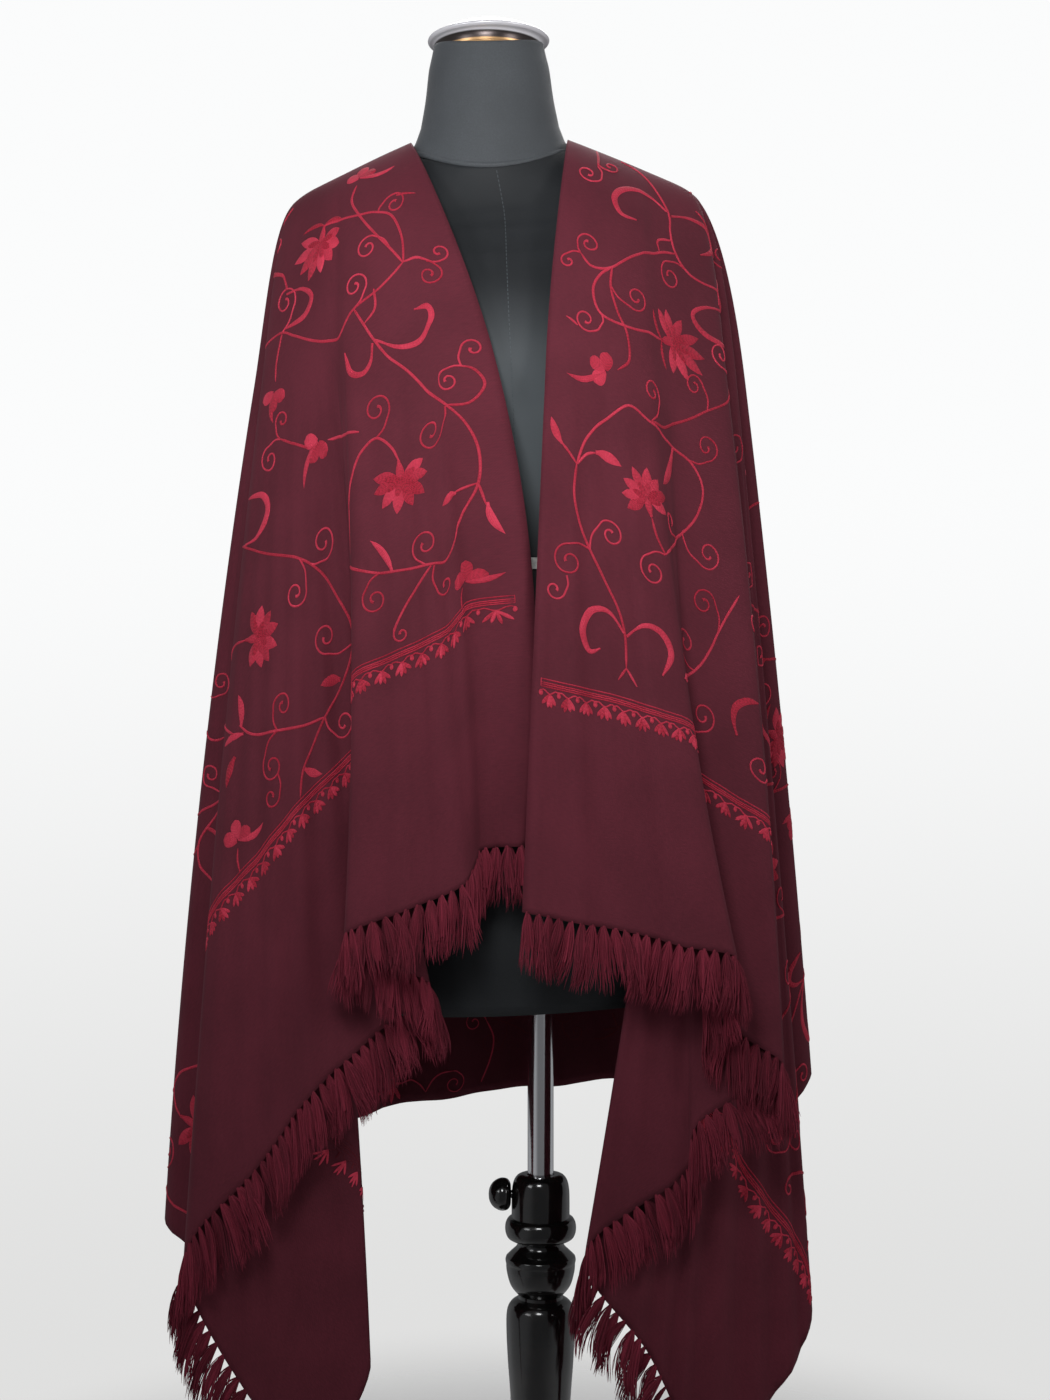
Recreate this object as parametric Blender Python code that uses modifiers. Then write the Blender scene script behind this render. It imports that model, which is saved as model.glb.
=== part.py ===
"""Kashmiri shawl on a dress form, as closed solids in metres, +Z up.

The origin is the centre of the stand's underside, on the pole's axis; -Y is the front.
The shawl is one rectangle of cloth.  It hangs in lines from the crest of each shoulder and
from the nape, and every row of a table below is one such line: a ridge, a valley or a plain
stretch between them.  The cloth between the lines is a spline, cut into the stretches that show.
"""
import math
from collections import namedtuple

import bmesh
import bpy
from mathutils import Matrix, Vector

CM = 0.01
GAP = 0.0003
CREST_GAP = 0.0004
FRINGE_GAP = 0.0030

# The shawl's cloth and fringe
WALL = 0.002
FRINGE_LENGTH = 0.065
CHEST_Z = 1.22
CREST_Y = 0.006
FOLD_ROUND = 0.040
SHOULDER_LEAVE = 1.6
CHEST_ARRIVE = 1.2
NAPE_LEAVE = 0.08
SLOPE_STEP = 0.02
COLUMN_SPACING = 0.030
SHOULDER_STEPS = (0.0, 0.03, 0.2, 0.4, 0.6, 0.8)
HANG_STEPS = 10
SPLINE_EASE = (0.0, 0.1, 0.4, 0.8, 1.0, 1.0) + (1.0,) * (HANG_STEPS + 1)
MERGE = 0.00001

# The shoulder crests, where front and back meet: a straight slope from the neck point, then a
# turn that steepens by so many degrees a metre up to the shoulder's tip
Crest = namedtuple("Crest", "side neck_x neck_z slope_deg straight length turn_rate")
CREST_LEFT = Crest(-1, -0.130, 1.456, 25.0, 0.105, 0.128, 675.0)
CREST_RIGHT = Crest(1, 0.027, 1.459, 21.5, 0.115, 0.135, 835.0)
TIP_RADIUS = 0.004
NAPE_DEPTH = 0.078

# Each hang line, in centimetres: its top, then where it passes the chest, halfway down and the
# hem.  A top is an arc length on the crest, and past the crest's length each further centimetre
# is a quarter turn round the shoulder's tip.  On the nape it is the share of the way round.
Line = namedtuple("Line", "name top chest_x chest_y mid_x mid_y hem_x hem_y hem_z")
LEFT_FRONT = (
    Line("left_v_edge", 0.0, -4.4, -13.8, -0.7, -14.9, -1.4, -14.8, 76.5),
    Line("left_strip", 1.8, -9.8, -14.0, -7.2, -15.1, -6.0, -15.0, 75.9),
    Line("left_small_ridge", 2.6, -11.0, -14.1, -8.4, -16.0, -6.6, -16.8, 73.5),
    Line("left_panel", 4.4, -14.8, -13.2, -13.2, -15.8, -12.9, -16.4, 70.5),
    Line("left_ridge", 6.4, -18.4, -11.4, -17.5, -14.8, -18.2, -15.7, 68.3),
    Line("left_flank", 7.2, -19.2, -10.4, -17.0, -13.0, -14.8, -13.6, 65.5),
    Line("left_valley", 8.0, -20.0, -9.8, -16.0, -11.4, -10.5, -11.4, 63.0),
    Line("left_outer_inside", 9.0, -21.4, -9.0, -18.8, -10.8, -15.4, -10.7, 58.6),
    Line("left_outer_middle", 10.4, -23.6, -7.4, -23.0, -11.0, -21.8, -11.6, 52.7),
    Line("left_outer_side", 12.0, -25.8, -5.4, -27.0, -9.8, -26.8, -11.7, 45.9),
    Line("left_outer_ridge", 12.95, -27.3, -3.2, -31.0, -7.4, -33.3, -11.0, 38.5),
    Line("left_curl", 13.10, -27.2, -2.2, -30.6, -5.8, -33.7, -9.4, 34.0),
    Line("left_corner", 13.25, -26.6, -1.4, -25.4, -5.0, -22.2, -8.3, 17.5),
    Line("left_tail_fold", 13.40, -25.9, -0.6, -20.0, -3.4, -16.6, -5.8, 26.0),
    Line("left_tail_layer", 13.60, -27.0, 0.6, -26.5, -1.0, -26.0, -2.2, 29.8),
    Line("left_side", 13.80, -28.9, 2.8, -34.3, 2.4, -37.8, 2.0, 37.1),
)
LEFT_BACK = (
    Line("left_back_side", 13.65, -28.8, 4.6, -34.2, 5.4, -37.2, 6.2, 38.2),
    Line("left_back_turn", 13.40, -27.4, 6.8, -32.0, 9.6, -34.4, 11.6, 40.0),
    Line("left_back_valley", 12.6, -25.2, 8.6, -28.4, 10.8, -30.2, 12.2, 41.5),
    Line("left_back_ridge", 10.8, -22.4, 10.0, -24.6, 13.6, -25.8, 16.4, 43.2),
    Line("left_back_hollow", 8.0, -18.8, 10.6, -19.6, 12.6, -20.2, 14.2, 45.0),
    Line("left_back_fold", 4.6, -15.4, 11.6, -15.4, 14.6, -15.2, 17.2, 46.2),
    Line("left_back_neck", 0.0, -11.4, 11.8, -10.6, 13.6, -10.4, 15.2, 47.0),
)
NAPE = (
    Line("nape_left", 0.25, -7.6, 12.0, -6.8, 14.2, -6.2, 16.4, 47.6),
    Line("nape_centre", 0.5, -4.6, 12.2, -3.4, 14.8, -2.0, 17.4, 48.0),
    Line("nape_right", 0.75, -1.4, 12.0, 0.4, 14.0, 2.2, 15.6, 48.4),
)
RIGHT_BACK = (
    Line("right_back_neck", 0.0, 2.4, 11.8, 4.6, 14.2, 6.8, 17.0, 48.9),
    Line("right_back_hollow", 5.0, 6.6, 11.4, 9.0, 13.6, 11.4, 14.8, 49.4),
    Line("right_back_fold", 9.0, 10.6, 10.6, 13.0, 13.8, 15.8, 16.8, 50.0),
    Line("right_back_valley", 12.4, 14.6, 9.6, 17.2, 12.2, 20.2, 13.8, 50.6),
    Line("right_back_turn", 14.0, 17.8, 8.4, 21.2, 11.2, 24.6, 13.4, 51.1),
    Line("right_back_side", 14.3, 20.0, 6.6, 23.8, 8.0, 27.2, 9.8, 51.4),
)
RIGHT_FRONT = (
    Line("right_side", 14.50, 21.0, 4.8, 24.8, 5.0, 27.9, 6.0, 51.5),
    Line("right_tail_valley", 14.30, 18.6, 2.6, 20.6, 2.6, 22.2, 2.2, 41.5),
    Line("right_tail_ridge", 14.15, 19.6, 0.6, 23.6, -0.6, 26.8, -2.0, 28.7),
    Line("right_corner", 14.00, 18.2, -0.8, 18.4, -4.8, 16.6, -4.6, 16.5),
    Line("right_tail_inside", 13.90, 17.2, -1.4, 14.2, -6.8, 10.2, -6.2, 27.0),
    Line("right_tail_fold", 13.80, 16.8, -2.0, 10.8, -9.8, 4.2, -8.5, 36.9),
    Line("right_third_back", 13.65, 17.2, -2.8, 14.2, -10.2, 13.8, -10.0, 45.3),
    Line("right_third_front", 13.50, 17.6, -3.4, 15.6, -10.8, 14.6, -11.2, 49.8),
    Line("right_outer_ridge", 12.6, 18.0, -4.8, 20.8, -10.2, 22.7, -12.7, 55.6),
    Line("right_outer_middle", 10.8, 15.2, -7.4, 17.2, -11.6, 19.0, -13.0, 58.4),
    Line("right_valley", 8.8, 12.2, -9.8, 13.4, -12.4, 15.0, -13.4, 61.7),
    Line("right_flank", 7.8, 11.2, -10.8, 13.2, -14.0, 16.8, -15.2, 64.0),
    Line("right_ridge", 6.8, 10.2, -12.0, 12.9, -15.2, 17.9, -16.6, 66.3),
    Line("right_panel", 5.0, 7.6, -13.4, 10.0, -16.2, 13.2, -17.3, 67.4),
    Line("right_hollow", 3.0, 4.8, -14.0, 6.4, -15.6, 8.4, -16.5, 68.6),
    Line("right_strip", 1.4, 2.6, -14.2, 2.4, -16.2, 2.6, -17.2, 69.7),
    Line("right_v_edge", 0.0, 0.4, -14.0, -0.7, -16.0, -1.8, -16.9, 70.6),
)
# Cloth nodes in order round the shawl.  Each ends on a line, or halfway from it to the next,
# where the cloth is flat.
Stretch = namedtuple("Stretch", "node last halfway")
STRETCHES = (
    Stretch("shawl_front_left", "left_flank", False),
    Stretch("shawl_side_left", "left_curl", True),
    Stretch("shawl_tail_left", "left_back_turn", True),
    Stretch("shawl_back_left", "left_back_fold", True),
    Stretch("shawl_back_middle", "right_back_neck", True),
    Stretch("shawl_back_right", "right_back_valley", True),
    Stretch("shawl_tail_right", "right_corner", True),
    Stretch("shawl_fold_right", "right_third_front", True),
    Stretch("shawl_side_right", "right_flank", False),
    Stretch("shawl_front_right", "right_v_edge", False),
)
# Fringe nodes along the two short hems, each from one line to another.  At a fold a strip
# stops short, because the next one doubles back beside it.
FOLD_GAP = 0.009
TAIL_FOLD_GAP = 0.016
Fringe = namedtuple("Fringe", "node first last first_gap last_gap")
FRINGES = (
    Fringe("fringe_front_left", "left_v_edge", "left_flank", 0.0, GAP),
    Fringe("fringe_side_left", "left_flank", "left_outer_ridge", GAP, FOLD_GAP),
    Fringe("fringe_tail_left", "left_outer_ridge", "left_corner", FOLD_GAP, 0.0),
    Fringe("fringe_tail_right", "right_corner", "right_tail_fold", 0.0, TAIL_FOLD_GAP),
    Fringe("fringe_fold_right", "right_tail_fold", "right_outer_ridge", TAIL_FOLD_GAP, FOLD_GAP),
    Fringe("fringe_side_right", "right_outer_ridge", "right_flank", FOLD_GAP, GAP),
    Fringe("fringe_front_right", "right_flank", "right_v_edge", GAP, 0.0),
)

# The dress form: its axis leans to the left from the middle of its underside
FORM_BASE_Z = 0.600
FORM_TILT_DEG = 3.2
FORM_SIDES = 36
FORM_SHIFT_X = -0.003
SOCKET_RADIUS = 0.0145
SOCKET_DEPTH = 0.090
Section = namedtuple("Section", "height half_width front back dip")
FORM_SECTIONS = (
    Section(0.000, 0.160, 0.094, 0.110, 0.0),
    Section(0.060, 0.168, 0.102, 0.124, 0.0),
    Section(0.140, 0.168, 0.102, 0.126, 0.0),
    Section(0.250, 0.150, 0.096, 0.112, 0.0),
    Section(0.350, 0.122, 0.086, 0.092, 0.0),
    Section(0.430, 0.113, 0.083, 0.084, 0.0),
    Section(0.510, 0.122, 0.092, 0.090, 0.0),
    Section(0.580, 0.139, 0.113, 0.098, 0.0),
    Section(0.625, 0.147, 0.124, 0.102, 0.0),
    Section(0.680, 0.154, 0.114, 0.102, 0.0),
    Section(0.730, 0.166, 0.094, 0.092, 0.004),
    Section(0.765, 0.176, 0.078, 0.078, 0.010),
    Section(0.788, 0.170, 0.070, 0.066, 0.016),
    Section(0.808, 0.146, 0.066, 0.060, 0.022),
    Section(0.826, 0.112, 0.064, 0.060, 0.028),
    Section(0.845, 0.080, 0.064, 0.061, 0.036),
)
NECK_SECTIONS = (
    Section(0.8455, 0.079, 0.0635, 0.0605, 0.0355),
    Section(0.858, 0.0735, 0.0620, 0.0595, 0.030),
    Section(0.885, 0.0675, 0.0600, 0.0580, 0.014),
    Section(0.920, 0.0620, 0.0570, 0.0560, 0.004),
    Section(0.954, 0.0560, 0.0530, 0.0530, 0.0),
)
TAPE_HEIGHTS = (0.424, 0.437)
TAPE_WALL = 0.0012
LABEL_SIZE = (0.012, 0.0008, 0.011)
LABEL_X = -0.0065

# The neck cap: a shallow dome with a rolled lip, turned about the form's axis
CAP_HEIGHT = 0.9545
CAP_PROFILE = ((0.000, 0.0215), (0.014, 0.0210), (0.028, 0.0192), (0.040, 0.0160), (0.050, 0.0118),
               (0.0570, 0.0082), (0.0600, 0.0066), (0.0607, 0.0046), (0.0590, 0.0030),
               (0.0560, 0.0024), (0.0540, 0.0000), (0.000, 0.0000))

# The stand: a turned column on a disc, with a pole that slides in it and a clamp screw
POLE_RADIUS = 0.013
POLE_FOOT = 0.110
BORE_RADIUS = 0.0137
BORE_FLOOR = 0.050
ROUND_SIDES = 28
COLUMN_TOP = 0.426
COLUMN_FOOT = 0.0283
COLUMN_PROFILE = ((0.0190, 0.4260), (0.0235, 0.4248), (0.0275, 0.4205), (0.0290, 0.4130), (0.0290, 0.3900),
                  (0.0325, 0.3868), (0.0352, 0.3800), (0.0352, 0.3660), (0.0320, 0.3600),
                  (0.0246, 0.3585), (0.0300, 0.3550), (0.0355, 0.3480), (0.0340, 0.3385),
                  (0.0350, 0.3340), (0.0285, 0.3180), (0.0232, 0.3080), (0.0250, 0.3035),
                  (0.0320, 0.2985), (0.0347, 0.2900), (0.0330, 0.2500), (0.0300, 0.2000),
                  (0.0275, 0.1350), (0.0285, 0.1000), (0.0340, 0.0840), (0.0300, 0.0740),
                  (0.0420, 0.0600), (0.0560, 0.0400), (0.0580, 0.0283))
BASE_PROFILE = ((0.0000, 0.0280), (0.0900, 0.0280), (0.1300, 0.0265), (0.1700, 0.0215),
                (0.1860, 0.0170), (0.1900, 0.0120), (0.1880, 0.0040), (0.1840, 0.0000),
                (0.0000, 0.0000))
SCREW_Z = 0.4060
SCREW_RADIUS = 0.0040
SCREW_END_X = 0.0134
KNOB_PROFILE = ((0.0000, 0.0520), (0.0060, 0.0512), (0.0115, 0.0480), (0.0150, 0.0430),
                (0.0162, 0.0380), (0.0150, 0.0330), (0.0110, 0.0302), (0.0060, 0.0296),
                (SCREW_RADIUS, 0.0296), (SCREW_RADIUS, SCREW_END_X), (0.0000, SCREW_END_X))

COLOURS = {
    "shawl": ((0.085, 0.020, 0.030), 0.85, 0.0),
    "fringe": ((0.075, 0.018, 0.027), 0.90, 0.0),
    "form_cloth": ((0.025, 0.030, 0.033), 0.80, 0.0),
    "neck_cloth": ((0.080, 0.095, 0.110), 0.85, 0.0),
    "tape": ((0.012, 0.012, 0.014), 0.60, 0.0),
    "label": ((0.700, 0.700, 0.690), 0.60, 0.0),
    "chrome": ((0.720, 0.720, 0.740), 0.15, 1.0),
    "black_wood": ((0.010, 0.009, 0.009), 0.20, 0.0),
}


# ---- scene and materials --------------------------------------------------------------------

def clear_scene():
    for item in list(bpy.data.objects):
        bpy.data.objects.remove(item, do_unlink=True)


def new_collection(name):
    group = bpy.data.collections.new(name)
    bpy.context.scene.collection.children.link(group)
    return group


def new_material(name):
    colour, roughness, metallic = COLOURS[name]
    material = bpy.data.materials.new(name)
    material.use_nodes = True
    shader = material.node_tree.nodes["Principled BSDF"]
    shader.inputs["Base Color"].default_value = (*colour, 1.0)
    shader.inputs["Roughness"].default_value = roughness
    shader.inputs["Metallic"].default_value = metallic
    return material


def add_object(group, name, mesh, material):
    item = bpy.data.objects.new(name, mesh)
    item.data.materials.append(material)
    group.objects.link(item)
    return item


def mesh_from(name, bm):
    bmesh.ops.recalc_face_normals(bm, faces=bm.faces)
    mesh = bpy.data.meshes.new(name)
    bm.to_mesh(mesh)
    bm.free()
    return mesh


def smooth(item, sharp_deg=40.0):
    item.data.shade_smooth()
    item.data.set_sharp_from_angle(angle=math.radians(sharp_deg))
    return item


# ---- the shawl's net ------------------------------------------------------------------------

def crest_point(crest, along):
    """Point on a shoulder crest at an arc length from the neck, and the crest's slope there."""
    run = min(along, crest.straight)
    start = math.radians(crest.slope_deg)
    x = run * math.cos(start)
    z = -run * math.sin(start)
    angle = start
    if along > crest.straight:
        rate = math.radians(crest.turn_rate)
        angle = start + rate * (along - crest.straight)
        x += (math.sin(angle) - math.sin(start)) / rate
        z -= (math.cos(start) - math.cos(angle)) / rate
    return Vector((crest.neck_x + crest.side * x, CREST_Y, crest.neck_z + z)), math.tan(angle)


def shoulder_top(crest, top, facing):
    """Where a line leaves the crest, or the tip's rim past its end; facing is -1 in front."""
    point, slope = crest_point(crest, min(top, crest.length))
    share = max(top - crest.length, 0.0) / CM
    if share > 0.0:
        turn = math.pi / 2.0 * share
        out = TIP_RADIUS * share * math.sin(turn)
        point += Vector((crest.side * out, facing * TIP_RADIUS * share * math.cos(turn), -slope * out))
    return point, slope


def nape_point(share):
    """Point on the cloth's edge round the back of the neck."""
    turn = math.pi * share
    middle = (CREST_LEFT.neck_x + CREST_RIGHT.neck_x) / 2.0
    half = (CREST_RIGHT.neck_x - CREST_LEFT.neck_x) / 2.0
    height = CREST_LEFT.neck_z + (CREST_RIGHT.neck_z - CREST_LEFT.neck_z) * share
    return Vector((middle - half * math.cos(turn), CREST_Y + NAPE_DEPTH * math.sin(turn), height))


def through_three(start, middle, end, share):
    """The parabola through three values at shares 0, 1/2 and 1, and its slope."""
    value = (start * (2 * share * share - 3 * share + 1) + middle * (4 * share - 4 * share * share)
             + end * (2 * share * share - share))
    return value


def hang_point(line, share):
    """Point of a hang line between the chest (share 0) and the hem (share 1)."""
    x = through_three(line.chest_x, line.mid_x, line.hem_x, share) * CM
    y = through_three(line.chest_y, line.mid_y, line.hem_y, share) * CM
    z = CHEST_Z + (line.hem_z * CM - CHEST_Z) * share
    return Vector((x, y, z))


def hang_line(line, crest, facing):
    """All points of one hang line, from its top to the hem."""
    chest = hang_point(line, 0.0)
    if crest is None:
        top = nape_point(line.top)
        turn = math.pi * line.top
        leave = Vector((-NAPE_LEAVE * math.cos(turn), NAPE_LEAVE * math.sin(turn), -NAPE_LEAVE))
    else:
        top, slope = shoulder_top(crest, line.top * CM, facing)
        across = max(crest.side * (chest.x - top.x), 0.0)
        leave = SHOULDER_LEAVE * Vector((crest.side * across, chest.y - top.y, -slope * across))
    fall = hang_point(line, SLOPE_STEP) - chest
    arrive = fall * (CHEST_ARRIVE * (top.z - chest.z) / -fall.z)
    points = []
    for share in SHOULDER_STEPS:
        square = share * share
        cube = square * share
        points.append(top * (2 * cube - 3 * square + 1) + leave * (cube - 2 * square + share)
                      + chest * (3 * square - 2 * cube) + arrive * (cube - square))
    for index in range(HANG_STEPS + 1):
        points.append(hang_point(line, index / HANG_STEPS))
    return points


def all_lines():
    """Every hang line from the left front edge round the back to the right one."""
    lines = [(line, CREST_LEFT, -1) for line in LEFT_FRONT]
    lines += [(line, CREST_LEFT, 1) for line in LEFT_BACK]
    lines += [(line, None, 1) for line in NAPE]
    lines += [(line, CREST_RIGHT, 1) for line in RIGHT_BACK]
    lines += [(line, CREST_RIGHT, -1) for line in RIGHT_FRONT]
    return lines


def knot_slopes(points):
    """The spline's slopes where each interval starts and ends, for shares of that interval.

    Where the cloth turns back on itself the slope is square to the fold, which rounds it.
    """
    starts = []
    ends = []
    for index, point in enumerate(points):
        before = point - points[max(index - 1, 0)]
        after = points[min(index + 1, len(points) - 1)] - point
        if index == 0 or index == len(points) - 1:
            starts.append(after)
            ends.append(before)
            continue
        step_before = before.length ** 0.5
        step_after = after.length ** 0.5
        mean = (before * (step_after / step_before) + after * (step_before / step_after))
        mean = mean / (step_before + step_after)
        back = -before.normalized().dot(after.normalized())
        fold = min(max((back - 0.2) / 0.6, 0.0), 1.0)
        turn = before.normalized() + after.normalized()
        turn.z = 0.0
        round_off = turn.normalized() * min(FOLD_ROUND, 0.6 * before.length, 0.6 * after.length)
        starts.append(mean * (step_after * (1.0 - fold)) + round_off * fold)
        ends.append(mean * (step_before * (1.0 - fold)) + round_off * fold)
    return starts, ends


def between(points, starts, ends, index, share):
    """Spline point at a share of the way from one knot to the next."""
    square = share * share
    cube = square * share
    return (points[index] * (2 * cube - 3 * square + 1) + starts[index] * (cube - 2 * square + share)
            + points[index + 1] * (3 * square - 2 * cube) + ends[index + 1] * (cube - square))


def make_net():
    """Columns of points round the shawl, where each line and half interval lies, and which
    columns start at a shoulder's tip."""
    lines = all_lines()
    hung = [hang_line(*line) for line in lines]
    rows = list(zip(*hung))
    splines = [knot_slopes(row) for row in rows]
    columns = []
    marks = {}
    halves = {}
    tips = set()
    for index, (line, crest, _) in enumerate(lines):
        marks[line.name] = len(columns)
        columns.append(list(hung[index]))
        if index + 1 == len(lines):
            break
        reach = max((a - b).length for a, b in zip(hung[index], hung[index + 1]))
        count = 2 * max(1, round(reach / (2.0 * COLUMN_SPACING)))
        halves[line.name] = len(columns) - 1 + count // 2
        for part in range(1, count):
            share = part / count
            column = []
            for row, spline, ease in zip(rows, splines, SPLINE_EASE):
                straight = row[index].lerp(row[index + 1], share)
                column.append(straight.lerp(between(row, *spline, index, share), ease))
            columns.append(column)
        if crest and line.top * CM > crest.length:
            tips.update(range(marks[line.name], len(columns)))
    return columns, marks, halves, tips


# ---- cloth solids ---------------------------------------------------------------------------

def pull_in(stretch, edge, inner, distance):
    for index, point in enumerate(stretch[edge]):
        stretch[edge][index] = point + (stretch[inner][index] - point).normalized() * distance


def cloth_columns(columns, start, stop, tips):
    """The columns of one stretch, drawn in a little where it meets its neighbours.

    The tops that lie at a shoulder's tip become one point, from which the cloth fans out.
    """
    stretch = [list(column) for column in columns[start:stop + 1]]
    fan = [index for index in range(len(stretch)) if start + index in tips]
    if fan:
        middle = sum((stretch[index][1] for index in fan), Vector()) / len(fan)
        for index in fan:
            stretch[index][0] = middle
            stretch[index][1] = middle
    if start > 0:
        pull_in(stretch, 0, 1, GAP)
    if stop < len(columns) - 1:
        pull_in(stretch, -1, -2, GAP)
    for column in stretch:
        column[0] = column[0] + (column[1] - column[0]).normalized() * CREST_GAP
    return stretch


def fringe_columns(columns, start, stop, first_gap, last_gap):
    """Points of the fringe's reach, on from the hem the way each line hangs."""
    reach = []
    for column in columns[start:stop + 1]:
        fall = (column[-1] - column[-2]).normalized()
        top = column[-1] + fall * FRINGE_GAP
        reach.append([top + fall * (FRINGE_LENGTH * share) for share in (0.0, 0.5, 1.0)])
    pull_in(reach, 0, 1, first_gap)
    pull_in(reach, -1, -2, last_gap)
    return reach


def cloth_wall(group, name, columns, material):
    """A grid of points as an open surface, thickened to both sides."""
    bm = bmesh.new()
    grid = [[bm.verts.new(point) for point in column] for column in columns]
    for left, right in zip(grid, grid[1:]):
        for a, b, c, d in zip(left, right, right[1:], left[1:]):
            bm.faces.new((a, d, c, b))
    bmesh.ops.remove_doubles(bm, verts=bm.verts, dist=MERGE)
    item = add_object(group, name, mesh_from(name, bm), material)
    shell = item.modifiers.new("Wall", "SOLIDIFY")
    shell.thickness = WALL
    shell.offset = 0.0
    return smooth(item, 60.0)


def make_shawl(group, cloth, fringe):
    columns, marks, halves, tips = make_net()
    start = 0
    for stretch in STRETCHES:
        stop = halves[stretch.last] if stretch.halfway else marks[stretch.last]
        cloth_wall(group, stretch.node, cloth_columns(columns, start, stop, tips), cloth)
        start = stop
    for strip in FRINGES:
        reach = fringe_columns(columns, marks[strip.first], marks[strip.last],
                               strip.first_gap, strip.last_gap)
        cloth_wall(group, strip.node, reach, fringe)


# ---- the dress form -------------------------------------------------------------------------

def lean():
    """Turn and place from the form's own frame to the world."""
    turn = Matrix.Rotation(math.radians(-FORM_TILT_DEG), 4, "Y")
    return Matrix.Translation((FORM_SHIFT_X, 0.0, FORM_BASE_Z)) @ turn


def section_ring(section, grow=0.0):
    """One ring of the form: a half ellipse in front and a deeper or shallower one behind."""
    ring = []
    for index in range(FORM_SIDES):
        angle = 2.0 * math.pi * index / FORM_SIDES
        across = math.cos(angle)
        along = math.sin(angle)
        depth = section.back if along > 0 else section.front
        forward = max(-along, 0.0)
        ring.append(Vector(((section.half_width + grow) * across, (depth + grow) * along,
                            section.height - section.dip * forward * forward)))
    return ring


def section_at(height):
    """The form's section at a height between two rows of its table."""
    for low, high in zip(FORM_SECTIONS, FORM_SECTIONS[1:]):
        if low.height <= height <= high.height:
            share = (height - low.height) / (high.height - low.height)
            return Section(*(a + (b - a) * share for a, b in zip(low, high)))
    raise ValueError("height outside the form")


def loft(name, rings, closed_ends=True):
    """Skin over rings of equal count, first ring lowest, with both ends filled."""
    bm = bmesh.new()
    loops = [[bm.verts.new(point) for point in ring] for ring in rings]
    for low, high in zip(loops, loops[1:]):
        for index, vert in enumerate(low):
            after = (index + 1) % len(low)
            bm.faces.new((vert, low[after], high[after], high[index]))
    if closed_ends:
        bm.faces.new(list(reversed(loops[0])))
        bm.faces.new(loops[-1])
    else:
        for index, vert in enumerate(loops[-1]):
            after = (index + 1) % len(loops[-1])
            bm.faces.new((vert, loops[-1][after], loops[0][after], loops[0][index]))
    bmesh.ops.triangulate(bm, faces=[face for face in bm.faces if len(face.verts) > 4])
    return mesh_from(name, bm)


def make_torso(group, material):
    place = lean()
    rings = [[place @ point for point in section_ring(section)] for section in FORM_SECTIONS]
    socket = []
    for height in (FORM_BASE_Z + SOCKET_DEPTH, FORM_BASE_Z):
        ring = []
        for index in range(FORM_SIDES):
            angle = 2.0 * math.pi * index / FORM_SIDES
            ring.append(Vector((SOCKET_RADIUS * math.cos(angle), SOCKET_RADIUS * math.sin(angle), height)))
        socket.append(ring)
    socket[1] = [Vector((point.x, point.y, FORM_BASE_Z + point.x * math.tan(math.radians(FORM_TILT_DEG))))
                 for point in socket[1]]
    return smooth(add_object(group, "form_torso", loft("form_torso", socket + rings), material))


def make_neck(group, material):
    place = lean()
    rings = [[place @ point for point in section_ring(section)] for section in NECK_SECTIONS]
    return smooth(add_object(group, "form_neck", loft("form_neck", rings), material))


def make_tape(group, tape, label):
    place = lean()
    rings = []
    for height, grow in ((TAPE_HEIGHTS[0], GAP), (TAPE_HEIGHTS[0], GAP + TAPE_WALL),
                         (TAPE_HEIGHTS[1], GAP + TAPE_WALL), (TAPE_HEIGHTS[1], GAP)):
        section = section_at(height)
        rings.append([place @ point for point in section_ring(section, grow)])
    band = add_object(group, "waist_tape", loft("waist_tape", rings, closed_ends=False), tape)
    smooth(band, 30.0)
    middle = (TAPE_HEIGHTS[0] + TAPE_HEIGHTS[1]) / 2.0
    front = section_at(middle).front + GAP * 3 + TAPE_WALL + LABEL_SIZE[1] / 2.0
    bm = bmesh.new()
    bmesh.ops.create_cube(bm, size=1.0, matrix=Matrix.Diagonal((*LABEL_SIZE, 1.0)))
    plate = add_object(group, "tape_label", mesh_from("tape_label", bm), label)
    plate.matrix_world = place @ Matrix.Translation((LABEL_X + middle * math.tan(math.radians(FORM_TILT_DEG)),
                                                     -front, middle))
    return plate


# ---- turned parts ---------------------------------------------------------------------------

def turned(group, name, profile, material, sides=ROUND_SIDES):
    """A profile at +X, running down its outer side, turned about Z."""
    mesh = bpy.data.meshes.new(name)
    points = [(radius, 0.0, height) for radius, height in profile]
    edges = [(index, index + 1) for index in range(len(points) - 1)]
    if profile[0][0] > 0.0:
        edges.append((len(points) - 1, 0))
    mesh.from_pydata(points, edges, [])
    item = add_object(group, name, mesh, material)
    screw = item.modifiers.new("Turn", "SCREW")
    screw.steps = sides
    screw.render_steps = sides
    screw.use_merge_vertices = True
    screw.merge_threshold = 0.00001
    return item


def make_cap(group, material):
    cap = turned(group, "neck_cap", CAP_PROFILE, material)
    cap.matrix_world = lean() @ Matrix.Translation((0.0, 0.0, CAP_HEIGHT))
    return cap


def make_pole(group, material):
    top = FORM_BASE_Z + SOCKET_DEPTH - GAP * 2
    length = top - POLE_FOOT
    bm = bmesh.new()
    bmesh.ops.create_cone(bm, cap_ends=True, segments=ROUND_SIDES, radius1=POLE_RADIUS,
                          radius2=POLE_RADIUS, depth=length)
    pole = add_object(group, "pole", mesh_from("pole", bm), material)
    pole.location = (0.0, 0.0, POLE_FOOT + length / 2.0)
    return smooth(pole)


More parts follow.
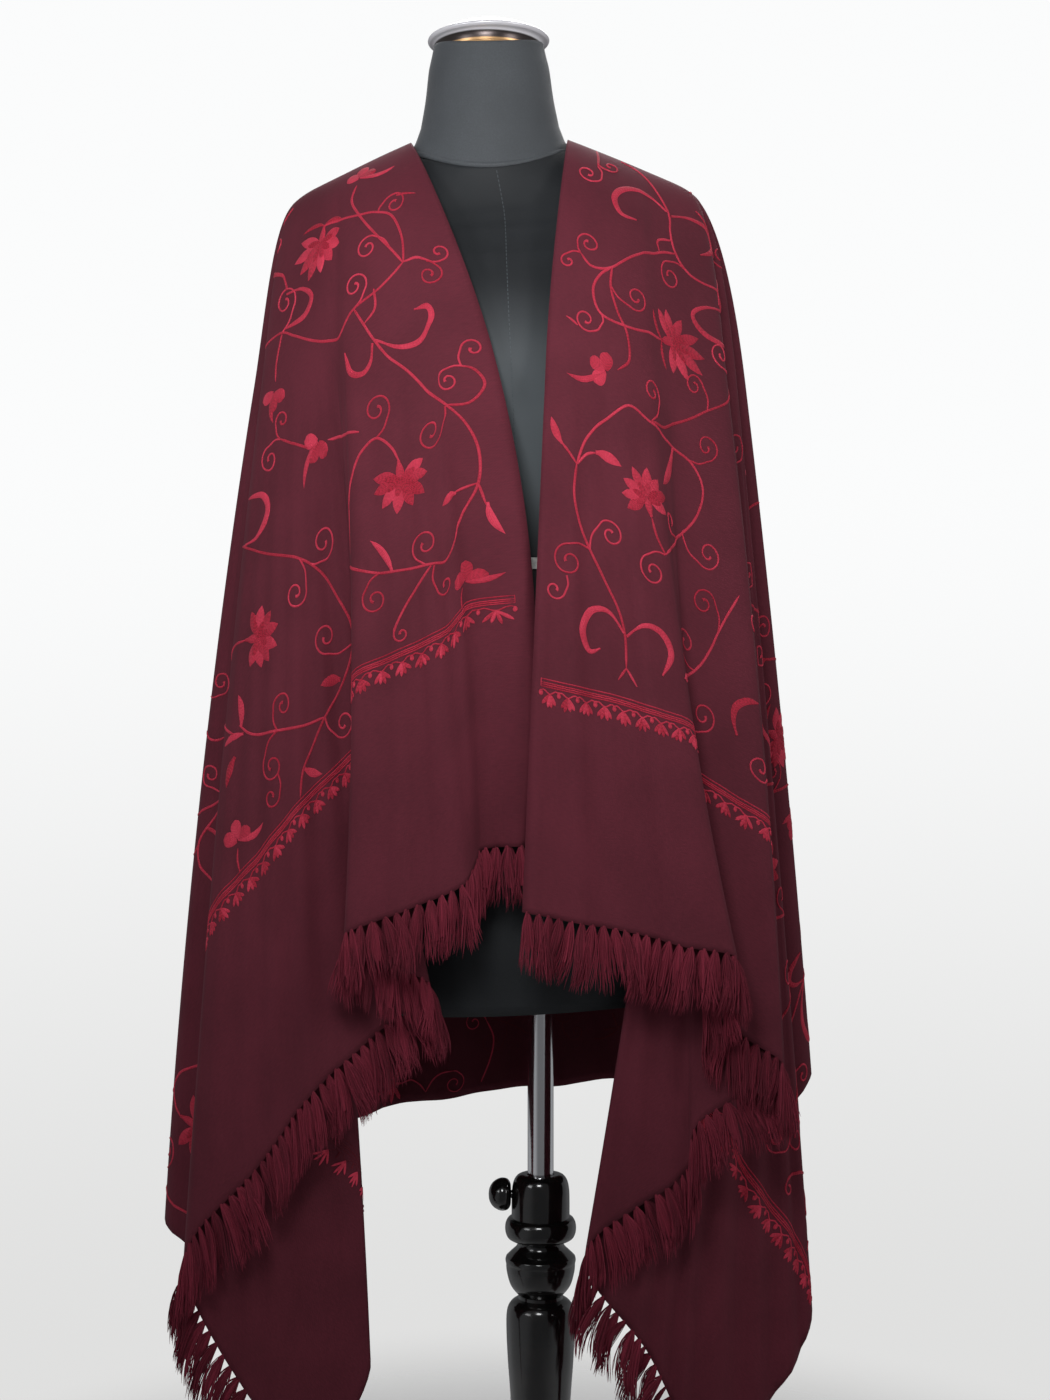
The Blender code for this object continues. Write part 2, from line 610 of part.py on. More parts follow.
def make_column(group, cutters, material):
    bore = ((BORE_RADIUS, BORE_FLOOR), (BORE_RADIUS, COLUMN_TOP))
    floor = ((0.0, COLUMN_FOOT), (0.0, BORE_FLOOR))
    column = turned(group, "stand_column", (*COLUMN_PROFILE, *floor, *bore), material)
    bm = bmesh.new()
    bmesh.ops.create_cone(bm, cap_ends=True, segments=16, radius1=SCREW_RADIUS + GAP,
                          radius2=SCREW_RADIUS + GAP, depth=0.030)
    cutter = add_object(cutters, "screw_hole_cutter", mesh_from("screw_hole_cutter", bm), material)
    cutter.location = (-0.025, 0.0, SCREW_Z)
    cutter.rotation_euler = (0.0, math.radians(90.0), 0.0)
    cutter.hide_render = True
    cutter.display_type = "WIRE"
    cut = column.modifiers.new("Screw hole", "BOOLEAN")
    cut.operation = "DIFFERENCE"
    cut.object = cutter
    return column


def make_knob(group, material):
    knob = turned(group, "clamp_knob", KNOB_PROFILE, material, 24)
    knob.rotation_euler = (0.0, math.radians(-90.0), 0.0)
    knob.location = (0.0, 0.0, SCREW_Z)
    return knob


def build():
    clear_scene()
    group = new_collection("kashmiri_shawl_on_dress_form")
    cutters = new_collection("cutters")
    materials = {name: new_material(name) for name in COLOURS}
    make_torso(group, materials["form_cloth"])
    make_neck(group, materials["neck_cloth"])
    make_tape(group, materials["tape"], materials["label"])
    make_cap(group, materials["chrome"])
    make_pole(group, materials["chrome"])
    make_column(group, cutters, materials["black_wood"])
    make_knob(group, materials["black_wood"])
    turned(group, "stand_base", BASE_PROFILE, materials["black_wood"], 48)
    make_shawl(group, materials["shawl"], materials["fringe"])


build()
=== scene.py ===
"""A Kashmiri shawl on a dress form: cloth, embroidery, fringe, form, stand and studio.

The shawl is one rectangle.  Its flat cut is measured in centimetres, s along the woven length
from the nape (negative towards the left end) and t across the width from the neck edge.  Each
row of a line table is one line of the hanging cloth, from the shoulder or nape to the hem.
"""
import math
import random
from collections import namedtuple
import bmesh
import bpy
from mathutils import Matrix, Vector
from mathutils.bvhtree import BVHTree
from mathutils.interpolate import poly_3d_calc


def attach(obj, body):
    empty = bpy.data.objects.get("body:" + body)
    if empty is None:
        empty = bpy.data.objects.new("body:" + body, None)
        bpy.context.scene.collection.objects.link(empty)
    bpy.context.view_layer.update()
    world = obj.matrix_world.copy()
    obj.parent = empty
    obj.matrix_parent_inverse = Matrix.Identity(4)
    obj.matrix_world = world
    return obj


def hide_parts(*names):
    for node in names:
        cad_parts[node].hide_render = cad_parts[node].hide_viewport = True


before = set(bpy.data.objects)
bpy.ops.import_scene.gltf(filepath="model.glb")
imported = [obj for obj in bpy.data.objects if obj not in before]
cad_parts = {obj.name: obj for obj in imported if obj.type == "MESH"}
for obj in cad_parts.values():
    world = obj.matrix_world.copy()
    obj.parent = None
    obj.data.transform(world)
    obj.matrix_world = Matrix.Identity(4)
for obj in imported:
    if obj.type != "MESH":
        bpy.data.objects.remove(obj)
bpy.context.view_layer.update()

bl_info = {
    "name": "Kashmiri shawl on a dress form",
    "version": (1, 0, 0),
    "blender": (4, 5, 0),
    "location": "View3D > Sidebar > Shawl",
    "description": "Builds an embroidered, fringed shawl draped over a dress form on a pole stand",
    "category": "Add Mesh",
}

CM = 0.01

# ---- the shawl's lines ----------------------------------------------------------------------

CHEST_Z = 1.22
CREST_Y = 0.006
FOLD_ROUND = 0.040
FOLD_SHARE = 0.6
FOLD_FROM = 0.2
FOLD_OVER = 0.6
SHOULDER_LEAVE = 1.6
CHEST_ARRIVE = 1.2
NAPE_LEAVE = 0.08
NAPE_DEPTH = 0.078
TIP_RADIUS = 0.004
CREST_GAP = 0.004
CREST_S = 10.5
NAPE_S = 5.2
WIDTH = 96.0
LEFT_END = -83.5
RIGHT_END = 86.0

Crest = namedtuple("Crest", "side neck_x neck_z slope_deg straight length turn_rate")
CREST_LEFT = Crest(-1, -0.130, 1.456, 25.0, 0.105, 0.128, 675.0)
CREST_RIGHT = Crest(1, 0.027, 1.459, 21.5, 0.115, 0.135, 835.0)

# A line's top is its arc length down the shoulder's crest, or its share of the way round the
# nape.  Chest, middle and hem are where it hangs, and the last two columns are where it meets
# the edge of the flat cut.  Everything is in centimetres.
Line = namedtuple("Line", "name top chest_x chest_y mid_x mid_y hem_x hem_y hem_z cut_s cut_t")
LEFT_FRONT = (
    Line("v_edge", 0.0, -4.4, -13.8, -0.7, -14.9, -1.4, -14.8, 76.5, -83.5, 0.0),
    Line("strip", 1.8, -9.8, -14.0, -7.2, -15.1, -6.0, -15.0, 75.9, -83.5, 4.9),
    Line("small_ridge", 2.6, -11.0, -14.1, -8.4, -16.0, -6.6, -16.8, 73.5, -83.5, 8.0),
    Line("panel", 4.4, -14.8, -13.2, -13.2, -15.8, -12.9, -16.4, 70.5, -83.5, 15.5),
    Line("ridge", 6.4, -18.4, -11.4, -17.5, -14.8, -18.2, -15.7, 68.3, -83.5, 21.9),
    Line("flank", 7.2, -19.2, -10.4, -17.0, -13.0, -14.8, -13.6, 65.5, -83.5, 27.3),
    Line("valley", 8.0, -20.0, -9.8, -16.0, -11.4, -10.5, -11.4, 63.0, -83.5, 33.2),
    Line("outer_inside", 9.0, -21.4, -9.0, -18.8, -10.8, -15.4, -10.7, 58.6, -83.5, 40.1),
    Line("outer_middle", 10.4, -23.6, -7.4, -23.0, -11.0, -21.8, -11.6, 52.7, -83.5, 49.5),
    Line("outer_side", 12.0, -25.8, -5.4, -27.0, -9.8, -26.8, -11.7, 45.9, -83.5, 58.6),
    Line("outer_ridge", 12.95, -27.3, -3.2, -31.0, -7.4, -33.3, -11.0, 38.5, -83.5, 69.1),
    Line("curl", 13.10, -27.2, -2.2, -30.6, -5.8, -33.7, -9.4, 34.0, -83.5, 74.3),
    Line("corner", 13.25, -26.6, -1.4, -25.4, -5.0, -22.2, -8.3, 17.5, -83.5, 96.0),
    Line("tail_fold", 13.40, -25.9, -0.6, -20.0, -3.4, -16.6, -5.8, 26.0, -73.0, 96.0),
    Line("tail_layer", 13.60, -27.0, 0.6, -26.5, -1.0, -26.0, -2.2, 29.8, -62.2, 96.0),
    Line("side", 13.80, -28.9, 2.8, -34.3, 2.4, -37.8, 2.0, 37.1, -47.7, 96.0),
)
LEFT_BACK = (
    Line("back_side", 13.65, -28.8, 4.6, -34.2, 5.4, -37.2, 6.2, 38.2, -43.3, 96.0),
    Line("back_turn", 13.40, -27.4, 6.8, -32.0, 9.6, -34.4, 11.6, 40.0, -37.0, 96.0),
    Line("back_valley", 12.6, -25.2, 8.6, -28.4, 10.8, -30.2, 12.2, 41.5, -32.5, 96.0),
    Line("back_ridge", 10.8, -22.4, 10.0, -24.6, 13.6, -25.8, 16.4, 43.2, -26.2, 96.0),
    Line("back_hollow", 8.0, -18.8, 10.6, -19.6, 12.6, -20.2, 14.2, 45.0, -19.9, 96.0),
    Line("back_fold", 4.6, -15.4, 11.6, -15.4, 14.6, -15.2, 17.2, 46.2, -14.0, 96.0),
    Line("back_neck", 0.0, -11.4, 11.8, -10.6, 13.6, -10.4, 15.2, 47.0, -8.7, 96.0),
)
NAPE = (
    Line("nape_left", 0.25, -7.6, 12.0, -6.8, 14.2, -6.2, 16.4, 47.6, -4.3, 96.0),
    Line("nape_centre", 0.5, -4.6, 12.2, -3.4, 14.8, -2.0, 17.4, 48.0, 0.0, 96.0),
    Line("nape_right", 0.75, -1.4, 12.0, 0.4, 14.0, 2.2, 15.6, 48.4, 4.9, 96.0),
)
RIGHT_BACK = (
    Line("back_neck", 0.0, 2.4, 11.8, 4.6, 14.2, 6.8, 17.0, 48.9, 10.1, 96.0),
    Line("back_hollow", 5.0, 6.6, 11.4, 9.0, 13.6, 11.4, 14.8, 49.4, 15.6, 96.0),
    Line("back_fold", 9.0, 10.6, 10.6, 13.0, 13.8, 15.8, 16.8, 50.0, 20.9, 96.0),
    Line("back_valley", 12.4, 14.6, 9.6, 17.2, 12.2, 20.2, 13.8, 50.6, 26.7, 96.0),
    Line("back_turn", 14.0, 17.8, 8.4, 21.2, 11.2, 24.6, 13.4, 51.1, 31.4, 96.0),
    Line("back_side", 14.3, 20.0, 6.6, 23.8, 8.0, 27.2, 9.8, 51.4, 36.2, 96.0),
)
RIGHT_FRONT = (
    Line("side", 14.50, 21.0, 4.8, 24.8, 5.0, 27.9, 6.0, 51.5, 40.4, 96.0),
    Line("tail_valley", 14.30, 18.6, 2.6, 20.6, 2.6, 22.2, 2.2, 41.5, 53.4, 96.0),
    Line("tail_ridge", 14.15, 19.6, 0.6, 23.6, -0.6, 26.8, -2.0, 28.7, 68.7, 96.0),
    Line("corner", 14.00, 18.2, -0.8, 18.4, -4.8, 16.6, -4.6, 16.5, 86.0, 96.0),
    Line("tail_inside", 13.90, 17.2, -1.4, 14.2, -6.8, 10.2, -6.2, 27.0, 86.0, 82.5),
    Line("tail_fold", 13.80, 16.8, -2.0, 10.8, -9.8, 4.2, -8.5, 36.9, 86.0, 69.7),
    Line("third_back", 13.65, 17.2, -2.8, 14.2, -10.2, 13.8, -10.0, 45.3, 86.0, 55.8),
    Line("third_front", 13.50, 17.6, -3.4, 15.6, -10.8, 14.6, -11.2, 49.8, 86.0, 50.7),
    Line("outer_ridge", 12.6, 18.0, -4.8, 20.8, -10.2, 22.7, -12.7, 55.6, 86.0, 39.7),
    Line("outer_middle", 10.8, 15.2, -7.4, 17.2, -11.6, 19.0, -13.0, 58.4, 86.0, 34.6),
    Line("valley", 8.8, 12.2, -9.8, 13.4, -12.4, 15.0, -13.4, 61.7, 86.0, 28.9),
    Line("flank", 7.8, 11.2, -10.8, 13.2, -14.0, 16.8, -15.2, 64.0, 86.0, 25.2),
    Line("ridge", 6.8, 10.2, -12.0, 12.9, -15.2, 17.9, -16.6, 66.3, 86.0, 22.1),
    Line("panel", 5.0, 7.6, -13.4, 10.0, -16.2, 13.2, -17.3, 67.4, 86.0, 16.7),
    Line("hollow", 3.0, 4.8, -14.0, 6.4, -15.6, 8.4, -16.5, 68.6, 86.0, 11.3),
    Line("strip", 1.4, 2.6, -14.2, 2.4, -16.2, 2.6, -17.2, 69.7, 86.0, 4.9),
    Line("v_edge", 0.0, 0.4, -14.0, -0.7, -16.0, -1.8, -16.9, 70.6, 86.0, 0.0),
)


def hermite(start, leave, end, arrive, share):
    """A cubic curve between two points with the given slopes at them."""
    square = share * share
    cube = square * share
    return (start * (2 * cube - 3 * square + 1) + leave * (cube - 2 * square + share)
            + end * (3 * square - 2 * cube) + arrive * (cube - square))


def limited(value, low, high):
    return min(max(value, low), high)


def crest_point(crest, along):
    """Point on a shoulder's crest at an arc length from the neck, and the slope there."""
    run = min(along, crest.straight)
    start = math.radians(crest.slope_deg)
    x = run * math.cos(start)
    z = -run * math.sin(start)
    angle = start
    if along > crest.straight:
        rate = math.radians(crest.turn_rate)
        angle = start + rate * (along - crest.straight)
        x += (math.sin(angle) - math.sin(start)) / rate
        z -= (math.cos(start) - math.cos(angle)) / rate
    return Vector((crest.neck_x + crest.side * x, CREST_Y, crest.neck_z + z)), math.tan(angle)


def shoulder_top(crest, top, facing):
    """Where a line leaves the crest, or the tip's rim beyond its end."""
    point, slope = crest_point(crest, min(top, crest.length))
    share = max(top - crest.length, 0.0) / CM
    turn = math.pi / 2.0 * share
    out = TIP_RADIUS * share * math.sin(turn)
    ahead = facing * TIP_RADIUS * share * math.cos(turn) if share else 0.0
    return point + Vector((crest.side * out, ahead, -slope * out)), slope


def nape_point(share):
    turn = math.pi * share
    middle = (CREST_LEFT.neck_x + CREST_RIGHT.neck_x) / 2.0
    half = (CREST_RIGHT.neck_x - CREST_LEFT.neck_x) / 2.0
    height = CREST_LEFT.neck_z + (CREST_RIGHT.neck_z - CREST_LEFT.neck_z) * share
    return Vector((middle - half * math.cos(turn), CREST_Y + NAPE_DEPTH * math.sin(turn), height))


def through_three(start, middle, end, share):
    return (start * (2 * share * share - 3 * share + 1) + middle * (4 * share - 4 * share * share)
            + end * (2 * share * share - share))


def fall_point(line, share):
    """Point of a line between the chest and the hem."""
    return Vector((through_three(line.chest_x, line.mid_x, line.hem_x, share) * CM,
                   through_three(line.chest_y, line.mid_y, line.hem_y, share) * CM,
                   CHEST_Z + (line.hem_z * CM - CHEST_Z) * share))


def line_points(line, crest, facing, over_shares, fall_shares):
    """One hanging line: over the shoulder to the chest, then down to the hem."""
    chest = fall_point(line, 0.0)
    if crest is None:
        top = nape_point(line.top)
        turn = math.pi * line.top
        leave = Vector((-NAPE_LEAVE * math.cos(turn), NAPE_LEAVE * math.sin(turn), -NAPE_LEAVE))
    else:
        top, slope = shoulder_top(crest, line.top * CM, facing)
        across = max(crest.side * (chest.x - top.x), 0.0)
        leave = SHOULDER_LEAVE * Vector((crest.side * across, chest.y - top.y, -slope * across))
    fall = fall_point(line, 0.02) - chest
    arrive = fall * (CHEST_ARRIVE * (top.z - chest.z) / -fall.z)
    over = [hermite(top, leave, chest, arrive, share) for share in over_shares]
    return over + [fall_point(line, share) for share in fall_shares]


def knot_slopes(points):
    """Spline slopes on both sides of each knot; where the cloth turns back they round the fold."""
    starts = []
    ends = []
    for index, point in enumerate(points):
        before = point - points[max(index - 1, 0)]
        after = points[min(index + 1, len(points) - 1)] - point
        if index in (0, len(points) - 1):
            starts.append(after)
            ends.append(before)
            continue
        step_before = before.length ** 0.5
        step_after = after.length ** 0.5
        mean = before * (step_after / step_before) + after * (step_before / step_after)
        mean = mean / (step_before + step_after)
        back = -before.normalized().dot(after.normalized())
        fold = limited((back - FOLD_FROM) / FOLD_OVER, 0.0, 1.0)
        turn = before.normalized() + after.normalized()
        turn.z = 0.0
        turn = turn.normalized() * min(FOLD_ROUND, FOLD_SHARE * before.length, FOLD_SHARE * after.length)
        starts.append(mean * (step_after * (1.0 - fold)) + turn * fold)
        ends.append(mean * (step_before * (1.0 - fold)) + turn * fold)
    return starts, ends


EASE_KNOTS = ((0.0, 0.0), (0.03, 0.1), (0.2, 0.4), (0.4, 0.8), (0.6, 1.0), (1.0, 1.0))


def ease_from_crest(share):
    """How far the spline between lines replaces straight cloth, down from the crest."""
    for (low, a), (high, b) in zip(EASE_KNOTS, EASE_KNOTS[1:]):
        if share <= high:
            return a + (b - a) * (share - low) / (high - low)
    return 1.0


class Drape:
    """The hung surface of the shawl and, for each of its points, the place on the flat cut."""

    OVER_ROWS = 36
    OVER_START = 0.012
    OVER_SPAN = 0.988
    OVER_BUNCHING = 1.15
    FALL_ROWS = 84
    COLUMN_STEP = 0.0105
    FLUTE_DEPTH = 0.0034
    FLUTE_PITCH = 0.050
    FLUTE_WANDER = 1.4
    FLUTE_MEAN = 0.65
    FLUTE_SWELL = 0.35
    FLUTE_ONSET = 2.2
    CALM_REACH = 3
    CALM_FROM = 0.3
    CALM_OVER = 0.5
    GATHER_STEP = 0.7

    def __init__(self):
        entries = [(line, CREST_LEFT, -1) for line in LEFT_FRONT]
        entries += [(line, CREST_LEFT, 1) for line in LEFT_BACK]
        entries += [(line, None, 1) for line in NAPE]
        entries += [(line, CREST_RIGHT, 1) for line in RIGHT_BACK]
        entries += [(line, CREST_RIGHT, -1) for line in RIGHT_FRONT]
        over = [self.OVER_START + self.OVER_SPAN * (index / (self.OVER_ROWS - 1)) ** self.OVER_BUNCHING
                for index in range(self.OVER_ROWS)]
        fall = [(index + 1) / self.FALL_ROWS for index in range(self.FALL_ROWS)]
        self.eases = [ease_from_crest(share) for share in over] + [1.0] * self.FALL_ROWS
        self.fades = [(1.0 - share) ** 2 for share in over] + [0.0] * self.FALL_ROWS
        hung = [line_points(*entry, over, fall) for entry in entries]
        flats = [self.flat_line(entry, points) for entry, points in zip(entries, hung)]
        rows = list(zip(*hung))
        splines = [knot_slopes(row) for row in rows]
        self.columns = []
        self.flat = []
        self.tops = []
        self.zones = []
        self.sides = {}
        for index, (line, crest, _) in enumerate(entries):
            if line.name == "side":
                self.sides[crest.side] = len(self.columns)
            count = 1
            if index + 1 < len(entries):
                reach = max((a - b).length for a, b in zip(hung[index], hung[index + 1]))
                count = max(2, math.ceil(reach / self.COLUMN_STEP))
            for part in range(count):
                self.add_column(index, part / count, rows, splines, flats, entries)
        self.make_lookup()

    def flat_line(self, entry, points):
        """Places on the flat cut along one line, by its length on the hung cloth."""
        line, crest, _ = entry
        if crest is None:
            top = Vector(((line.top - 0.5) * 4.0 * NAPE_S, 0.0))
        else:
            top = Vector((crest.side * CREST_S, min(line.top, crest.length / CM)))
        hem = Vector((line.cut_s, line.cut_t))
        run = [0.0]
        for a, b in zip(points, points[1:]):
            run.append(run[-1] + (b - a).length)
        start = CREST_GAP / run[-1]
        return [top.lerp(hem, start + (1.0 - start) * length / run[-1]) for length in run]

    def add_column(self, index, share, rows, splines, flats, entries):
        """A column of points at a share of the way from one line to the next."""
        after = min(index + 1, len(entries) - 1)
        line, crest, _ = entries[index]
        other, other_crest, _ = entries[after]
        top = line.top
        shift = Vector()
        if crest is not None and other_crest is crest:
            top = line.top + (other.top - line.top) * share
            if top * CM <= crest.length:
                here, low, high = (crest_point(crest, run * CM)[0] for run in (top, line.top, other.top))
                shift = here - low.lerp(high, share)
        column = []
        for row, (starts, ends), ease, fade in zip(rows, splines, self.eases, self.fades):
            point = row[index].lerp(row[after], share)
            if share > 0.0:
                curved = hermite(row[index], starts[index], row[index + 1], ends[index + 1], share)
                point = point.lerp(curved, ease)
            column.append(point + shift * fade)
        self.columns.append(column)
        self.flat.append([a.lerp(b, share) for a, b in zip(flats[index], flats[after])])
        self.tops.append(top)
        self.zones.append(crest.side if crest else 0)

    def make_lookup(self):
        """Faces over columns and rows, smoothed normals, and a tree over the flat cut."""
        rows = len(self.columns[0])
        self.points = [point for column in self.columns for point in column]
        self.cut = [Vector((flat.x, flat.y, 0.0)) for column in self.flat for flat in column]
        self.faces = []
        for c in range(len(self.columns) - 1):
            for r in range(rows - 1):
                a = c * rows + r
                b = a + rows
                self.faces.append((a, b, b + 1))
                self.faces.append((a, b + 1, a + 1))
        count = len(self.columns)
        left_back = [index for index in range(self.sides[-1] + 1, count) if self.zones[index] < 0]
        right_back = [index for index in range(self.sides[1]) if self.zones[index] > 0]
        self.zips = self.zip_crest(range(self.sides[-1] + 1), left_back[::-1])
        self.zips += self.zip_crest(range(count - 1, self.sides[1] - 1, -1), right_back)
        self.faces += self.zips
        self.normals = self.smooth_normals()
        self.flute()
        self.normals = self.smooth_normals()
        self.tree = BVHTree.FromPolygons(self.cut, self.faces)

    def smooth_normals(self):
        normals = [Vector() for _ in self.points]
        for face in self.faces:
            a, b, c = (self.points[corner] for corner in face)
            normal = (b - a).cross(c - a)
            for corner in face:
                normals[corner] += normal
        for normal in normals:
            normal.normalize()
        return normals

    def flute(self):
        """Shallow flutes that deepen towards the hem, fading out where the cloth already folds."""
        rows = len(self.columns[0])
        last = len(self.columns) - 1
        run = 0.0
        for c, column in enumerate(self.columns):
            if c:
                run += (column[-1] - self.columns[c - 1][-1]).length
            turn = 2.0 * math.pi * run / self.FLUTE_PITCH + self.FLUTE_WANDER * math.sin(run * 9.0)
            size = self.FLUTE_MEAN + self.FLUTE_SWELL * math.sin(run * 5.3 + 1.0)
            for fall in range(self.FALL_ROWS):
                r = self.OVER_ROWS + fall
                share = (fall + 1) / self.FALL_ROWS
                before = self.normals[max(c - self.CALM_REACH, 0) * rows + r]
                after = self.normals[min(c + self.CALM_REACH, last) * rows + r]
                calm = limited((before.dot(after) - self.CALM_FROM) / self.CALM_OVER, 0.0, 1.0)
                onset = min(share * self.FLUTE_ONSET, 1.0)
                depth = self.FLUTE_DEPTH * size * calm * onset * math.sin(turn + 0.5 * share)
                normal = self.normals[c * rows + r]
                self.points[c * rows + r] = column[r] + Vector((normal.x, normal.y, 0.0)) * depth

    def zip_crest(self, front, back):
        """Triangles over a shoulder's crest; its columns run from the neck out to the tip."""
        rows = len(self.columns[0])
        faces = []
        i = j = 0
        while i + 1 < len(front) or j + 1 < len(back):
            ahead = self.tops[front[i + 1]] if i + 1 < len(front) else 1e9
            behind = self.tops[back[j + 1]] if j + 1 < len(back) else 1e9
            a = front[i] * rows
            b = back[j] * rows
            if ahead <= behind:
                i += 1
                faces.append((a, b, front[i] * rows))
            else:
                j += 1
                faces.append((a, b, back[j] * rows))
        if self.zones[front[0]] > 0:
            faces = [face[::-1] for face in faces]
        return faces

    def place(self, s, t):
        """Point and normal of the hung cloth over a place on the flat cut."""
        spot, _, index, _ = self.tree.find_nearest((s, t, 0.0))
        corners = self.faces[index]
        weights = poly_3d_calc([self.cut[corner] for corner in corners], spot)
        point = Vector()
        normal = Vector()
        for corner, weight in zip(corners, weights):
            point += self.points[corner] * weight
            normal += self.normals[corner] * weight
        return point, normal.normalized()

    def gathered(self, s, t):
        """Centimetres of flat cut in one of hung cloth, along s and along t."""
        shares = []
        for step in (Vector((self.GATHER_STEP, 0.0, 0.0)), Vector((0.0, self.GATHER_STEP, 0.0))):
            here = Vector((s, t, 0.0))
            low = self.tree.find_nearest(here - step)[0]
            high = self.tree.find_nearest(here + step)[0]
            span = self.place(high.x, high.y)[0] - self.place(low.x, low.y)[0]
            shares.append((high - low).length * CM / max(span.length, 1e-4))
        return shares


# ---- materials ------------------------------------------------------------------------------

class Value:
    """A socket that can be used in a maths expression; each step adds a Math node."""

    def __init__(self, finish, socket):
        self.finish = finish
        self.socket = socket

    def __add__(self, other):
        return self.finish.maths("ADD", self, other)

    def __radd__(self, other):
        return self.finish.maths("ADD", other, self)

    def __sub__(self, other):
        return self.finish.maths("SUBTRACT", self, other)

    def __rsub__(self, other):
        return self.finish.maths("SUBTRACT", other, self)

    def __mul__(self, other):
        return self.finish.maths("MULTIPLY", self, other)

    def __rmul__(self, other):
        return self.finish.maths("MULTIPLY", other, self)


class Finish:
    """One material, with its Principled shader and the nodes that vary its looks."""

    def __init__(self, name, **constants):
        self.material = bpy.data.materials.new(name)
        self.material.use_nodes = True
        self.tree = self.material.node_tree
        self.shader = self.tree.nodes["Principled BSDF"]
        for key, value in constants.items():
            self.shader.inputs[key.replace("_", " ")].default_value = value

    @classmethod
    def on(cls, tree):
        """The same tools on a tree that is already there, such as the world's."""
        finish = cls.__new__(cls)
        finish.tree = tree
        return finish

    def node(self, kind, settings=None, sockets=None, output=0):
        made = self.tree.nodes.new(kind)
        for key, value in (settings or {}).items():
            setattr(made, key, value)
        for key, value in (sockets or {}).items():
            self.feed(made.inputs[key], value)
        return Value(self, made.outputs[output])

    def feed(self, socket, value):
        if isinstance(value, Value):
            self.tree.links.new(value.socket, socket)
        else:
            socket.default_value = value

    def maths(self, operation, *values):
        return self.node("ShaderNodeMath", {"operation": operation}, dict(enumerate(values)))

    def mix(self, share, first, second):
        return self.node("ShaderNodeMix", {"data_type": "RGBA"}, {0: share, 6: first, 7: second}, 2)

    def smooth(self, value, low, high):
        return self.node("ShaderNodeMapRange", {"interpolation_type": "SMOOTHSTEP"},
                         {"Value": value, "From Min": low, "From Max": high})

    def noise(self, where, scale, detail):
        return self.node("ShaderNodeTexNoise", None, {"Vector": where, "Scale": scale, "Detail": detail})

    def object_place(self):
        return self.node("ShaderNodeTexCoord", None, None, 3)

    def parts(self, where):
        made = self.node("ShaderNodeSeparateXYZ", None, {0: where})
        outputs = made.socket.node.outputs
        return [Value(self, outputs[index]) for index in range(3)]

    def joined(self, x, y, z):
        return self.node("ShaderNodeCombineXYZ", None, {0: x, 1: y, 2: z})

    def set(self, name, value):
        self.feed(self.shader.inputs[name], value)

    def wave(self, value, pitch):
        """A sine that repeats at a pitch."""
        return self.maths("SINE", value * (2.0 * math.pi / pitch))

    def bump(self, height, strength, distance):
        sockets = {"Strength": strength, "Distance": distance, "Height": height}
        self.set("Normal", self.node("ShaderNodeBump", None, sockets))


def linear(colour):
    """Colour picker values are shown in sRGB; shaders use linear light."""
    return tuple(c / 12.92 if c <= 0.04045 else ((c + 0.055) / 1.055) ** 2.4 for c in colour[:3]) + (1.0,)


def darker(colour, share):
    return linear([channel * share for channel in colour])


WOOL_SHEEN = (0.75, 0.35, 0.42, 1.0)


def wool_twill(name, light, dark, cut_scale, sheen):
    """Fine wool twill: a rib across the width, a soft nap and slightly uneven dye."""
    finish = Finish(name, Roughness=0.86, Sheen_Weight=sheen, Sheen_Roughness=0.45,
                    Sheen_Tint=WOOL_SHEEN, Specular_IOR_Level=0.25)
    cut = finish.node("ShaderNodeUVMap", {"uv_map": "Cut"})
    u, v, _ = finish.parts(cut)
    along = u * cut_scale
    across = v * cut_scale
    threads = finish.joined(along * 900.0, across * 160.0, 0.0)
    rib = finish.noise(threads, 1.0, 1.0)
    twill = finish.wave(along * 0.8 + across, 0.0018)
    dye = finish.noise(finish.joined(along, across, 0.0), 14.0, 3.0)
    nap = finish.noise(finish.joined(along, across, 0.0), 420.0, 2.0)
    tone = dye * 0.55 + rib * 0.35 + nap * 0.25 + twill * 0.035
    colour = finish.mix(finish.smooth(tone, 0.32, 0.86), linear(dark), linear(light))
    finish.set("Base Color", colour)
    finish.set("Roughness", 0.80 + nap * 0.14)
    finish.bump(rib * 0.5 + twill * 0.12 + nap * 0.6, 0.35, 0.0005)
    return finish.material


def fringe_yarn(name, light, dark):
    """Loose wool yarn, uneven from tassel to tassel."""
    finish = Finish(name, Roughness=0.88, Sheen_Weight=0.06, Sheen_Roughness=0.5,
                    Sheen_Tint=WOOL_SHEEN, Specular_IOR_Level=0.2)
    strand = finish.node("ShaderNodeAttribute", {"attribute_name": "strand"}, None, 1)
    along, tint, around = finish.parts(strand)
    fuzz = finish.noise(finish.object_place(), 900.0, 2.0)
    streak = finish.noise(finish.joined(around * 26.0, along * 1.6, tint * 9.0), 1.0, 2.0)
    tone = tint * 0.40 + fuzz * 0.30 + streak * 0.55 - along * 0.05
    finish.set("Base Color", finish.mix(finish.smooth(tone, 0.25, 0.95), linear(dark), linear(light)))
    finish.bump(streak * 1.5 + fuzz * 0.4, 0.6, 0.0006)
    return finish.material


